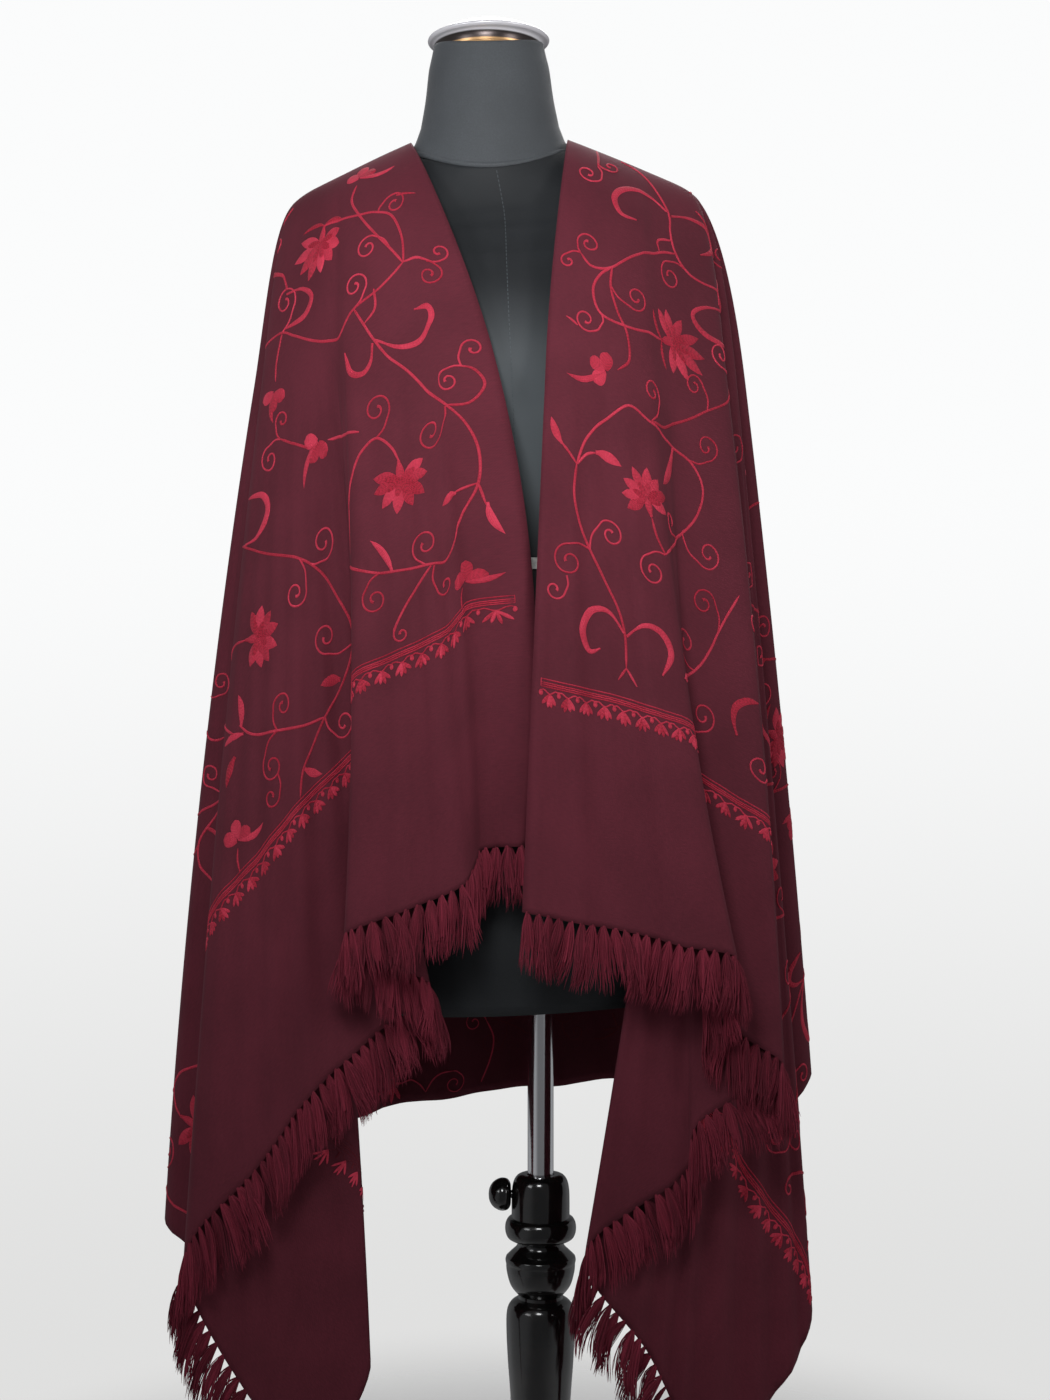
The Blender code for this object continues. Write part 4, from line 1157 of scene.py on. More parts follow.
LEFT_OUTER = (
    Posy((36.0, 20.5), 60, (38.3, 24.0)),
    Stem(((35.6, 21.8), (33.8, 23.2), (32.0, 24.2))),
    Curl((32.0, 24.2), (30.8, 23.2), 0.85, 1),
    Curl((32.2, 24.1), (32.6, 26.0), 1.15, -1),
    Crook(((36.6, 32.3), (37.4, 30.4), (36.4, 28.4), (34.6, 28.2), (33.2, 29.8)), 0.75),
    Stem(((30.0, 38.0), (33.5, 35.0), (36.5, 32.4), (39.6, 30.4), (43.0, 27.6), (45.0, 26.2),
          (47.4, 25.3), (51.4, 24.7), (53.7, 25.5), (55.6, 27.7), (57.0, 31.5), (58.3, 34.0),
          (59.4, 36.0), (61.2, 37.4))),
    Curl((44.2, 26.7), (43.9, 24.2), 1.35, -1),
    Curl((43.2, 27.4), (45.6, 29.2), 1.15, 1),
    Curl((53.6, 25.4), (51.2, 28.0), 1.2, 1),
    Leaf((53.7, 25.3), (54.3, 23.4), 0.8),
    Leaf((55.4, 28.2), (54.4, 30.6), 1.0),
    Flower((44.4, 36.0), -55, 6.6, False),
    Stem(((44.4, 36.0), (43.5, 38.2), (44.6, 41.2), (47.8, 42.6), (50.8, 41.0))),
    Stem(((57.0, 31.5), (56.0, 34.2), (54.2, 36.8), (52.3, 39.3), (50.4, 40.3))),
    Curl((54.2, 36.8), (52.8, 35.2), 1.0, 1),
    Curl((54.2, 36.8), (56.4, 38.8), 1.15, -1),
    Curl((57.4, 38.6), (58.6, 40.2), 0.85, 1),
    Curl((57.0, 31.5), (58.8, 29.8), 1.1, -1),
    Leaf((50.6, 40.2), (48.0, 39.0), 0.8),
    Leaf((51.4, 40.2), (50.4, 43.0), 0.7),
    Leaf((52.4, 42.0), (54.0, 44.2), 0.9),
    Leaf((59.2, 35.8), (61.0, 34.2), 0.75),
    Posy((58.8, 45.4), 200, (59.6, 42.2)),
    Stem(((61.3, 46.6), (60.3, 46.4), (59.4, 45.8))),
    Curl((33.6, 35.0), (31.2, 33.0), 1.25, 1),
    Curl((31.0, 37.2), (33.0, 39.4), 1.2, -1),
    Leaf((30.0, 38.0), (27.6, 40.2), 0.95),
)
RIGHT_PANEL = (
    Stem(((13.4, 6.0), (14.2, 8.2), (15.6, 10.0), (17.4, 11.5), (19.4, 12.0), (21.0, 12.7), (22.0, 13.8),
          (21.9, 15.2), (21.0, 16.8), (20.8, 18.6), (21.6, 21.0))),
    Stem(((13.4, 3.4), (15.2, 3.8), (17.0, 4.0))),
    Curl((17.0, 4.0), (18.6, 3.0), 1.1, -1),
    Curl((16.6, 3.9), (16.0, 5.2), 0.8, 1),
    Crook(((17.3, 11.3), (17.1, 9.3), (18.1, 7.2), (20.1, 6.2), (21.7, 7.0), (21.5, 8.4)), 0.72),
    Crook(((17.5, 11.7), (16.0, 13.1), (15.4, 14.9), (16.9, 15.7), (19.2, 14.5)), 0.65),
    Curl((22.0, 13.8), (24.1, 12.9), 1.3, 1),
    Stem(((21.2, 12.9), (23.2, 10.9), (25.5, 8.8), (28.0, 7.0), (28.9, 5.0), (28.0, 3.2))),
    Stem(((20.2, 12.3), (21.6, 11.0), (22.6, 11.4))),
    Curl((28.0, 3.2), (29.2, 1.7), 0.65, 1),
    Curl((28.0, 3.2), (26.8, 4.2), 1.0, -1),
    Stem(((28.0, 7.0), (29.4, 5.9), (31.2, 5.4), (33.0, 6.5), (32.8, 9.6), (31.2, 13.0))),
    Stem(((28.0, 7.0), (30.0, 7.1), (32.0, 8.0), (33.6, 9.1), (36.0, 9.5), (37.4, 8.4))),
    Curl((29.8, 7.0), (29.7, 9.5), 1.15, 1),
    Curl((33.0, 6.5), (34.1, 4.7), 1.05, -1),
    Stem(((34.9, 3.6), (34.4, 2.0))),
    Flower((31.2, 13.0), 125, 6.4, True),
    Posy((38.0, 7.2), 250, (39.4, 2.4)),
    Stem(((47.0, 4.1), (44.6, 5.2), (42.2, 7.5), (40.1, 9.8), (40.5, 12.0), (40.2, 14.4), (39.7, 16.4),
          (39.6, 18.3), (41.2, 19.8), (44.0, 19.9), (46.5, 19.0), (49.4, 16.8), (52.0, 14.5))),
    Curl((40.4, 12.2), (37.5, 12.2), 1.05, 1),
    Stem(((40.5, 12.2), (39.2, 14.4), (36.6, 16.8), (33.6, 18.6), (31.0, 19.8), (27.0, 20.6), (21.6, 21.0))),
    Curl((33.8, 18.5), (32.4, 17.0), 1.0, 1),
    Curl((39.5, 18.2), (37.2, 19.2), 1.2, 1),
    Leaf((39.8, 16.4), (45.2, 14.3), 0.95),
    Curl((46.6, 18.9), (47.4, 16.2), 0.85, -1),
    Curl((46.5, 19.1), (46.7, 21.6), 1.25, 1),
    Stem(((52.0, 14.5), (50.8, 13.4), (49.2, 12.7))),
    Flower((49.2, 12.7), 200, 6.0, False),
    Curl((52.0, 14.4), (54.0, 13.0), 1.25, 1),
    Stem(((47.0, 4.1), (49.6, 3.9), (52.0, 4.7), (54.0, 6.0), (56.2, 7.6), (58.4, 9.2), (60.6, 10.0),
          (63.4, 10.2))),
    Stem(((47.0, 4.1), (45.4, 2.1))),
    Leaf((45.6, 2.3), (43.5, 0.9), 0.8),
    Stem(((47.0, 4.2), (45.9, 5.3), (45.5, 6.6))),
    Leaf((45.5, 6.4), (45.9, 9.2), 1.05),
    Curl((54.0, 6.0), (55.5, 3.6), 1.35, 1),
    Curl((56.8, 3.4), (58.2, 2.1), 0.85, -1),
    Curl((54.0, 6.0), (52.2, 8.3), 1.15, -1),
    Crook(((60.4, 9.9), (59.0, 8.3), (59.2, 6.4), (61.0, 5.4), (62.7, 6.2), (62.3, 7.4)), 0.75),
    Crook(((60.6, 10.2), (59.2, 12.0), (59.2, 14.0), (60.8, 15.2), (63.0, 14.2)), 0.7),
    Stem(((63.4, 10.2), (64.6, 9.4))),
    Stem(((63.4, 10.2), (64.7, 11.4))),
    Leaf((62.4, 17.2), (60.0, 20.6), 0.8),
    Leaf((21.0, 19.0), (18.4, 21.6), 1.0),
    Curl((27.0, 20.6), (27.4, 18.2), 1.15, -1),
    Curl((22.0, 21.0), (24.0, 22.6), 1.15, 1),
    Curl((57.6, 22.8), (55.8, 21.2), 1.1, -1),
    Stem(((62.4, 17.4), (60.8, 19.4), (57.6, 22.8), (53.0, 24.0), (48.6, 24.6))),
    Curl((53.0, 24.0), (51.2, 22.2), 1.15, 1),
    Curl((47.6, 26.6), (49.8, 27.6), 1.1, -1),
    Curl((62.8, 23.2), (61.0, 24.4), 1.15, 1),
    Crook(((60.8, 27.6), (59.6, 27.0), (58.4, 26.9), (57.4, 27.5), (57.0, 28.5)), 0.8),
    Stem(((56.6, 30.6), (59.0, 31.4), (61.4, 32.6))),
    Curl((61.2, 32.4), (62.4, 30.2), 1.1, -1),
)

HEM_SPRAY = (
    Flower((13.4, 94.0), 0, 4.4, False),
    Stem(((13.4, 94.0), (12.4, 93.8), (11.5, 94.3), (10.8, 95.1))),
    Stem(((10.8, 95.1), (10.0, 94.0), (8.9, 93.3), (7.6, 93.2))),
    Curl((7.6, 93.2), (7.5, 94.5), 1.0, -1),
    Stem(((4.4, 94.9), (3.4, 92.6), (3.0, 90.4), (3.8, 88.4))),
    Curl((3.8, 88.4), (5.2, 88.6), 0.95, 1),
)

# Where each part of the vine is worked: place of its origin on the cut, the directions in which
# down and out run there, and the field of the cut that it keeps to.
Working = namedtuple("Working", "piece motifs s t down_s down_t out_s out_t field", defaults=(None,))
Field = namedtuple("Field", "s_low s_high t_low t_high")
WORKINGS = (
    Working("embroidery_left", LEFT_PANEL, 0, 0, -1, 0, 0, 1),
    Working("embroidery_left", LEFT_OUTER, 0, 0, -1, 0, 0, 1),
    Working("embroidery_left", RIGHT_PANEL, 5, 47, -1, 0, 0, 1),
    Working("embroidery_left", LEFT_PANEL, 0, 95.5, -1, 0, 0, -1),
    Working("embroidery_right", RIGHT_PANEL, 0, 0, 1, 0, 0, 1),
    Working("embroidery_right", LEFT_PANEL, 4, 49.5, 1, 0, 0, -1),
    Working("embroidery_right", RIGHT_PANEL, 0, 49, 1, 0, 0, 1),
    Working("embroidery_right", LEFT_PANEL, 4, 95.5, 1, 0, 0, -1),
    Working("embroidery_back", LEFT_PANEL, -10, -9, 0, 1, 1, 0),
    Working("embroidery_back", HEM_SPRAY, 0, 0, -1, 0, 0, 1),
    Working("embroidery_back", LEFT_OUTER, -33, 32, 0, 1, 1, 0),
    Working("embroidery_back", RIGHT_PANEL, -9, 0, 0, 1, -1, 0, Field(-30, -12, 12, 47)),
    Working("embroidery_back", RIGHT_PANEL, 11, 0, 0, 1, 1, 0, Field(13, 30, 12, 30)),
)


# Tendrils, in centimetres and turns: how much larger they are sewn than laid out, and how far
# they wind in.
CURL_GROW = 1.18
CURL_LEAD = 0.6
CURL_BOW = 0.12
CURL_STEPS = 22
CURL_WIND = 0.80
CURL_TURNS = 1.3
SMALL_CURL = 0.9
SMALL_CURL_TURNS = 1.05

# The directions of petals round a flower's heart, of its inner petals and of a posy's, and their
# reach and width as shares of the flower's size or reach.
PETAL_TURNS = (-112, -80, -48, -16, 16, 48, 80, 112)
HEART_TURNS = (-104, -62, -20, 20, 62, 104)
POSY_TURNS = (-72, 0, 72)
SEPAL_TURN = 128
FLOWER_REACH = 0.48
HEART_OUT = 0.55
HEART_REACH = 0.56
HEART_WIDTH = 0.14
HEART_LIFT = 0.0005
HEART_TINTS = (0.0, 0.35)
STALK_REACH = 0.2
STALK_WIDTH = 0.13
STALK_LIFT = 0.0004
STALK_TINT = 0.4
SEPAL_REACH = 1.02
SEPAL_WIDTH = 0.5
SEPAL_TINT = 0.15
SEPAL_BEND = 0.12
PETAL_WIDTH = 0.185
PETAL_ROOT = 0.08
PETAL_FULL = 0.55
PETAL_SCATTER = (0.95, 1.06)
PETAL_SWAY = 3
PETAL_OUTER = 0.10
PETAL_LIFT = 0.00016
PETAL_TINTS = (0.25, 0.8)
PETAL_ROWS = 9
PETAL_COLUMNS = 7
LEAF_BEND = 0.07
LEAF_TINTS = (0.3, 0.8)
# How a petal's breadth swells to its full width and narrows to its ends.
SWELL_POINTED = 0.8
SWELL_ROUND = 0.5
ROOT_BREADTH = 0.35
LEAST_BREADTH = 0.04
# A posy's petals and its leaf, and a crook, in centimetres, and how far they are lifted, in metres.
POSY_ROOT = 0.1
POSY_REACH = 1.85
POSY_WIDTH = 1.4
POSY_FULL = 0.6
POSY_LIFT = 0.00015
POSY_TINTS = (0.3, 0.8)
POSY_LEAF_WIDTH = 0.62
POSY_LEAF_BEND = 0.14
POSY_LEAF_TINTS = (0.3, 0.7)
POSY_LEAF_LIFT = 0.0001
CROOK_FULL = 1.4
CROOK_SWELL = 0.6
CROOK_ROOT = 0.14
CROOK_LEAST = 0.09
CROOK_LIFT = 0.0001
CROOK_TINTS = (0.35, 0.75)
# A stem's or curl's breadth at its ends, as shares of the full one, and what each place adds.
STEM_START = 0.55
STEM_START_GROW = 0.2
STEM_END = 0.35
STEM_END_GROW = 0.25
STEM_TINTS = (0.3, 0.7)
CURL_THIN = 0.85
CURL_EYE = 0.5
CURL_EYE_PLACES = 3.0
CURL_TINTS = (0.35, 0.8)

# A motif beside the front panels is dropped when no other is within LONE centimetres of its ends,
# and any motif is where a hung centimetre takes too little or too much of the cut.
LONE = 1.5
GATHER_LEAST = 0.4
GATHER_MOST = 2.6
EASE_LEAST = 0.6
EASE_MOST = 1.7

# How threads show on the reverse: their share of a strip's half width, the most of it in
# centimetres, how far they stand off the rest, and their tint.  Some are pulled right through.
Reverse = namedtuple("Reverse", "share most lift tint")
PLAIN = Reverse(0.55, 0.14, 0.0, 0.0)
THROUGH = Reverse(0.62, 0.2, 0.0005, 0.9)

# Parts of a smooth curve between two given places, and centimetres between the places along it.
CURVE_PARTS = 16
STITCH_STEP = 0.26
CURL_STEP = 0.2
SAMPLE_STEP = 0.8


def curve_through(points, step):
    """Evenly spaced places along a smooth curve through the given ones."""
    knots = [Vector(point) for point in points]
    fine = []
    for index in range(len(knots) - 1):
        before = knots[max(index - 1, 0)]
        here = knots[index]
        there = knots[index + 1]
        after = knots[min(index + 2, len(knots) - 1)]
        for part in range(CURVE_PARTS):
            share = part / CURVE_PARTS
            square = share * share
            cube = square * share
            fine.append(0.5 * (2 * here + (there - before) * share
                               + (2 * before - 5 * here + 4 * there - after) * square
                               + (3 * here - before - 3 * there + after) * cube))
    fine.append(knots[-1])
    run = [0.0]
    for a, b in zip(fine, fine[1:]):
        run.append(run[-1] + (b - a).length)
    count = max(2, round(run[-1] / step))
    places = []
    index = 0
    for number in range(count + 1):
        want = run[-1] * number / count
        while index < len(run) - 2 and run[index + 1] < want:
            index += 1
        span = max(run[index + 1] - run[index], 1e-9)
        places.append(fine[index].lerp(fine[index + 1], min((want - run[index]) / span, 1.0)))
    return places


def scaled(place, ease):
    return Vector((place.x * ease.x, place.y * ease.y))


def pointing(angle):
    return Vector((math.cos(angle), math.sin(angle)))


def curl_places(curl, turns, ease):
    """A tendril that leaves its root, runs round its eye and winds in; round where it hangs."""
    eye = Vector(curl.eye)
    away = Vector(curl.root) - eye
    away = Vector((away.x / ease.x, away.y / ease.y))
    lean = math.acos(min(curl.radius / away.length, 1.0))
    start = math.atan2(away.y, away.x) + curl.hand * lean
    touch = pointing(start) * curl.radius
    lead = touch - away
    points = [away]
    if lead.length > CURL_LEAD:
        bow = Vector((lead.y, -lead.x)) * (CURL_BOW * curl.hand)
        points.append((away + touch) / 2 + bow)
    for step in range(CURL_STEPS + 1):
        share = step / CURL_STEPS
        angle = start + curl.hand * turns * 2.0 * math.pi * share
        radius = curl.radius * (1.0 - CURL_WIND * share)
        points.append(pointing(angle) * radius)
    return curve_through([eye + scaled(point, ease) for point in points], CURL_STEP)


def places_of(motif):
    """Every place on the cut that a motif names."""
    places = []
    for part in motif:
        if isinstance(part, tuple):
            places += part if isinstance(part[0], tuple) else [part]
    return [Vector(place) for place in places]


def sampled(motif):
    """Places along a stem, or the places that another motif names."""
    return curve_through(motif.points, SAMPLE_STEP) if isinstance(motif, Stem) else places_of(motif)


class Needle:
    """Sews raised strips of wool chain stitch on the hung cloth."""

    def __init__(self, drape, settings):
        self.drape = drape
        self.settings = settings
        self.working = None
        self.meshes = {}
        self.through = False
        self.dice = random.Random(11)

    def mesh(self, name):
        if name not in self.meshes:
            bm = bmesh.new()
            self.meshes[name] = (bm, bm.verts.layers.float_vector.new("thread"))
        return self.meshes[name]

    def spot(self, place):
        w = self.working
        return (w.s + w.down_s * place.x + w.out_s * place.y,
                w.t + w.down_t * place.x + w.out_t * place.y)

    def hung(self, place):
        return self.drape.place(*self.spot(place))

    def ease(self, place):
        """What a hung centimetre takes on the cut, down and out, where the cloth is gathered."""
        along_s, along_t = self.drape.gathered(*self.spot(place))
        if self.working.down_s == 0:
            along_s, along_t = along_t, along_s
        return Vector([limited(along, EASE_LEAST, EASE_MOST) for along in (along_s, along_t)])

    def fair(self, motif):
        """Whether the cloth under a motif lies smoothly enough to sew it."""
        field = self.working.field
        for place in places_of(motif):
            s, t = self.spot(place)
            if field and not (field.s_low < s < field.s_high and field.t_low < t < field.t_high):
                return False
            low, high = sorted(self.drape.gathered(s, t))
            if low < GATHER_LEAST or high > GATHER_MOST:
                return False
        return True

    def sewn(self, motifs):
        """The motifs that can be sewn; beside the front panels, none that would be left alone."""
        able = [motif for motif in motifs if self.fair(motif)]
        if self.working.s == 0 and self.working.t == 0:
            return able

        def held(motif):
            ends = (places_of(motif)[0], places_of(motif)[-1])
            others = [spot for other in able if other is not motif for spot in sampled(other)]
            return min((end - spot).length for end in ends for spot in others) < LONE

        return [motif for motif in able if held(motif)]

    def strip(self, places, halves, height, tint, columns=5, lift=0.0):
        """A domed strip of the given half widths along a row of places, and its reverse side."""
        settings = self.settings
        reverse = THROUGH if self.through else PLAIN
        right, layer = self.mesh(self.working.piece)
        wrong, under = self.mesh(self.working.piece + "_reverse")
        grid = grid_strip(right, columns, len(places))
        back = grid_strip(wrong, 2, len(places))
        run = 0.0
        for row, place in enumerate(places):
            ahead = places[min(row + 1, len(places) - 1)] - places[max(row - 1, 0)]
            side = scaled(Vector((-ahead.y, ahead.x)).normalized(), self.ease(place))
            if row:
                run += (place - places[row - 1]).length * CM
            for column in range(columns):
                across = -1.0 + 2.0 * column / (columns - 1)
                point, normal = self.hung(place + side * (across * halves[row]))
                dome = math.sqrt(max(1.0 - across * across, 0.0)) * min(1.0, halves[row] / 0.1)
                vert = grid[column, row]
                vert.co = point + normal * (settings.bed + (height + lift) * dome)
                vert[layer] = Vector(((1.0 - abs(across)) * halves[row] * CM, run, tint))
            half = min(halves[row] * reverse.share, reverse.most)
            for column in (0, 1):
                point, normal = self.hung(place + side * ((-1.0 + 2.0 * column) * half))
                vert = back[column, row]
                vert.co = point - normal * (settings.under + reverse.lift)
                vert[under] = Vector((column * 0.001, run, reverse.tint))

    def stem(self, points, width):
        places = curve_through(points, STITCH_STEP)
        last = len(places) - 1
        halves = [width / 2 * min(1.0, STEM_START + index * STEM_START_GROW,
                                  STEM_END + (last - index) * STEM_END_GROW)
                  for index in range(last + 1)]
        self.strip(places, halves, self.settings.stem_height, self.dice.uniform(*STEM_TINTS))

    def curl(self, motif):
        turns = CURL_TURNS if motif.radius > SMALL_CURL else SMALL_CURL_TURNS
        sewn = motif._replace(radius=motif.radius * CURL_GROW)
        places = curl_places(sewn, turns, self.ease(Vector(motif.eye)))
        last = len(places) - 1
        width = self.settings.curl_width / CM
        halves = [width / 2 * (CURL_THIN + CURL_EYE * max(0.0, 1.0 - (last - index) / CURL_EYE_PLACES))
                  for index in range(last + 1)]
        self.strip(places, halves, self.settings.stem_height, self.dice.uniform(*CURL_TINTS))

    def petal(self, root, tip, width, tint, lift=0.0, bend=0.0, full=0.5, round_tip=False):
        """One leaf or petal, widest at a share of its length; its stitches follow its edges."""
        root = Vector(root)
        tip = Vector(tip)
        along = tip - root
        side = Vector((-along.y, along.x)) * bend
        places = []
        halves = []
        for row in range(PETAL_ROWS):
            share = row / (PETAL_ROWS - 1)
            places.append(root + along * share + side * (4.0 * share * (1.0 - share)))
            part = 0.5 * share / full if share < full else 1.0 - 0.5 * (1.0 - share) / (1.0 - full)
            swell = math.sin(math.pi * part) ** (SWELL_ROUND if round_tip else SWELL_POINTED)
            halves.append(width / 2 * max(swell, ROOT_BREADTH * (1.0 - share) ** 2, LEAST_BREADTH))
        self.strip(places, halves, self.settings.petal_height, tint, PETAL_COLUMNS, lift)

    def flower(self, motif):
        """Pointed petals fanned round a full heart, open towards the stem."""
        ease = self.ease(Vector(motif.root))
        heading = math.radians(motif.heading)
        reach = motif.size * FLOWER_REACH

        def toward(turn, far):
            return heart + scaled(pointing(heading + math.radians(turn)), ease) * far

        heart = Vector(motif.root)
        heart = toward(0, reach * HEART_OUT)
        if motif.sepals:
            for side in (-1, 1):
                self.petal(motif.root, toward(side * SEPAL_TURN, reach * SEPAL_REACH),
                           SEPAL_WIDTH, SEPAL_TINT, bend=SEPAL_BEND * side)
        for number, turn in enumerate(PETAL_TURNS):
            outer = 1.0 - PETAL_OUTER * abs(turn) / PETAL_TURNS[-1]
            far = reach * outer * self.dice.uniform(*PETAL_SCATTER)
            tip = toward(turn + self.dice.uniform(-PETAL_SWAY, PETAL_SWAY), far)
            self.petal(toward(turn, reach * PETAL_ROOT), tip, motif.size * PETAL_WIDTH,
                       self.dice.uniform(*PETAL_TINTS), PETAL_LIFT * (number % 2), full=PETAL_FULL)
        self.petal(motif.root, toward(0, reach * STALK_REACH), motif.size * STALK_WIDTH,
                   STALK_TINT, STALK_LIFT)
        for turn in HEART_TURNS:
            self.petal(heart, toward(turn, reach * HEART_REACH), motif.size * HEART_WIDTH,
                       self.dice.uniform(*HEART_TINTS), HEART_LIFT, full=PETAL_FULL)

    def posy(self, motif):
        """Three round petals and a curved leaf."""
        centre = Vector(motif.centre)
        ease = self.ease(centre)
        for turn in POSY_TURNS:
            toward = scaled(pointing(math.radians(motif.heading + turn)), ease)
            self.petal(centre + toward * POSY_ROOT, centre + toward * POSY_REACH, POSY_WIDTH,
                       self.dice.uniform(*POSY_TINTS), POSY_LIFT * (turn == 0), full=POSY_FULL,
                       round_tip=True)
        self.petal(centre, motif.leaf, POSY_LEAF_WIDTH, self.dice.uniform(*POSY_LEAF_TINTS),
                   POSY_LEAF_LIFT, bend=POSY_LEAF_BEND)

    def crook(self, motif):
        """A crescent leaf, thin at its root and full where it hooks over."""
        places = curve_through(motif.points, STITCH_STEP)
        last = len(places) - 1
        halves = []
        for index in range(last + 1):
            share = index / last
            swell = math.sin(math.pi * share ** CROOK_FULL) ** CROOK_SWELL
            halves.append(max(motif.width / 2 * swell, CROOK_ROOT * (1.0 - share), CROOK_LEAST))
        tint = self.dice.uniform(*CROOK_TINTS)
        self.strip(places, halves, self.settings.petal_height, tint, PETAL_COLUMNS, CROOK_LIFT)

    def work(self, motif):
        """Sew a motif of any kind."""
        if isinstance(motif, Stem):
            self.stem(motif.points, self.settings.stem_width / CM)
        elif isinstance(motif, Leaf):
            self.petal(motif.root, motif.tip, motif.width, self.dice.uniform(*LEAF_TINTS), bend=LEAF_BEND)
        else:
            {Curl: self.curl, Flower: self.flower, Posy: self.posy, Crook: self.crook}[type(motif)](motif)


BORDER_LEFT = 61.3
BORDER_RIGHT = 66.0
BORDER_LEFT_DRIFT = 1.6
DRIFT_FROM = 62.0
DRIFT_OVER = 16.0
BORDER_INSET = 1.0
BORDER_LINES = (0.0, 0.30, 0.64)
LINE_WIDTH = 0.135
WAVE_DOWN = 0.47
WAVE_RISE = 0.02
WAVE_STEP = 0.5
WAVE_WIDTH = 0.15
# One scallop: centimetres down, and share of the pitch along.
SCALLOP = ((0.98, 0.0), (0.90, 0.18), (1.22, 0.5), (0.90, 0.82))
SCALLOP_WIDTH = 0.16
BUD_WIDTH = 0.42
SPRIG_PITCH = 2.0
SPRIG_TURNS = (-40, -13, 14, 41)
SPRIG_WIDTH = 0.38


def border(needle, start, drift):
    """Straight and waved lines over a scalloped line hung with buds and sprigs; the far end drifts."""
    low = BORDER_INSET
    high = WIDTH - BORDER_INSET

    def sloped(places):
        return [(x + drift * limited((y - DRIFT_FROM) / DRIFT_OVER, 0.0, 1.0), y) for x, y in places]

    for down in BORDER_LINES:
        across = (low, WIDTH / 2, DRIFT_FROM, DRIFT_FROM + DRIFT_OVER, high)
        needle.stem(sloped([(start + down, place) for place in across]), LINE_WIDTH)
    waves = []
    count = round((high - low) / WAVE_STEP)
    for index in range(count + 1):
        waves.append((start + WAVE_DOWN + WAVE_RISE * (-1) ** index, low + (high - low) * index / count))
    needle.stem(sloped(waves), WAVE_WIDTH)
    for edge in (low, high):
        needle.stem(sloped([(start - 0.05, edge), (start + 0.30, edge), (start + 0.65, edge)]), WAVE_WIDTH)
    scallops = []
    sprigs = round((high - low) / SPRIG_PITCH)
    pitch = (high - low) / sprigs
    for index in range(sprigs):
        left = low + index * pitch
        scallops += [(start + down, left + pitch * share) for down, share in SCALLOP]
    needle.stem(sloped(scallops + [(start + SCALLOP[0][0], high)]), SCALLOP_WIDTH)
    for index in range(sprigs + 1):
        across = low + index * pitch
        root, tip = sloped([(start + 0.95, across), (start + 1.45, across + 0.05)])
        needle.petal(root, tip, BUD_WIDTH, 0.6, round_tip=True)
        if index == sprigs:
            break
        root = Vector(sloped([(start + 1.2, across + pitch / 2)])[0])
        needle.through = drift > 0.0 and across > DRIFT_FROM
        for turn in SPRIG_TURNS:
            angle = math.radians(turn + needle.dice.uniform(-5, 5))
            tip = root + pointing(angle) * needle.dice.uniform(1.1, 1.3)
            needle.petal(root, tip, SPRIG_WIDTH, needle.dice.uniform(0.3, 0.8), full=0.6, round_tip=True)
        needle.through = False


ROW_PITCH = 0.0014
LINK_PITCH = 0.0030


def chain_stitch(name, thread, bright, shade):
    """Wool chain stitch: rows along the shape, a link every few millimetres."""
    finish = Finish(name, Roughness=0.7, Sheen_Weight=0.08, Sheen_Roughness=0.5,
                    Sheen_Tint=(1.0, 0.45, 0.5, 1.0), Specular_IOR_Level=0.3)
    attribute = finish.node("ShaderNodeAttribute", {"attribute_name": "thread"}, None, 1)
    edge, along, tint = finish.parts(attribute)
    fuzz = finish.noise(finish.object_place(), 1100.0, 2.0)
    cloud = finish.noise(finish.object_place(), 55.0, 2.0)
    row = finish.maths("SINE", edge * (2.0 * math.pi / ROW_PITCH) - 1.2) * 0.5 + 0.5
    link = finish.maths("SINE", along * (2.0 * math.pi / LINK_PITCH) + edge * 900.0) * 0.5 + 0.5
    relief = row * 0.55 + link * 0.45
    raised = finish.smooth(relief + (fuzz - 0.5) * 0.5, -0.15, 0.75)
    body = finish.mix(raised, linear(shade), linear(thread))
    lit = finish.smooth(tint * 0.8 + cloud * 0.5 + fuzz * 0.3, 0.45, 1.25)
    finish.set("Base Color", finish.mix(lit, body, linear(bright)))
    finish.set("Roughness", 0.62 + fuzz * 0.2)
    finish.bump(relief + fuzz * 0.3, 0.7, 0.0006)
    return finish.material


class ShawlEmbroiderySettings(bpy.types.PropertyGroup):
    stem_width: length_setting("Stem width", "Width of the vine's stems", 0.0027, 0.001, 0.01)
    curl_width: length_setting("Curl width", "Width of the tendrils", 0.0023, 0.001, 0.01)
    stem_height: length_setting("Stem height",
                                "How far the stems stand above their bed", 0.0009, 0.0, 0.003)
    petal_height: length_setting("Petal height",
                                 "How far the petals stand above their bed", 0.0008, 0.0, 0.003)
    bed: length_setting("Bed", "From the cloth's middle to a strip's edges", 0.00052, 0.0, 0.002)
    under: length_setting("Under",
                          "From the cloth's middle to the threads on its reverse", 0.00078, 0.0, 0.002)
    thread: colour_setting("Thread", "Embroidery wool", (0.66, 0.10, 0.20))
    bright: colour_setting("Thread, bright",
                           "Embroidery wool where it catches the light", (0.83, 0.23, 0.33))
    shade: colour_setting("Thread, shade", "Embroidery wool between the stitches", (0.42, 0.05, 0.11))
    reverse: colour_setting("Reverse", "Threads on the cloth's reverse side", (0.40, 0.07, 0.13))


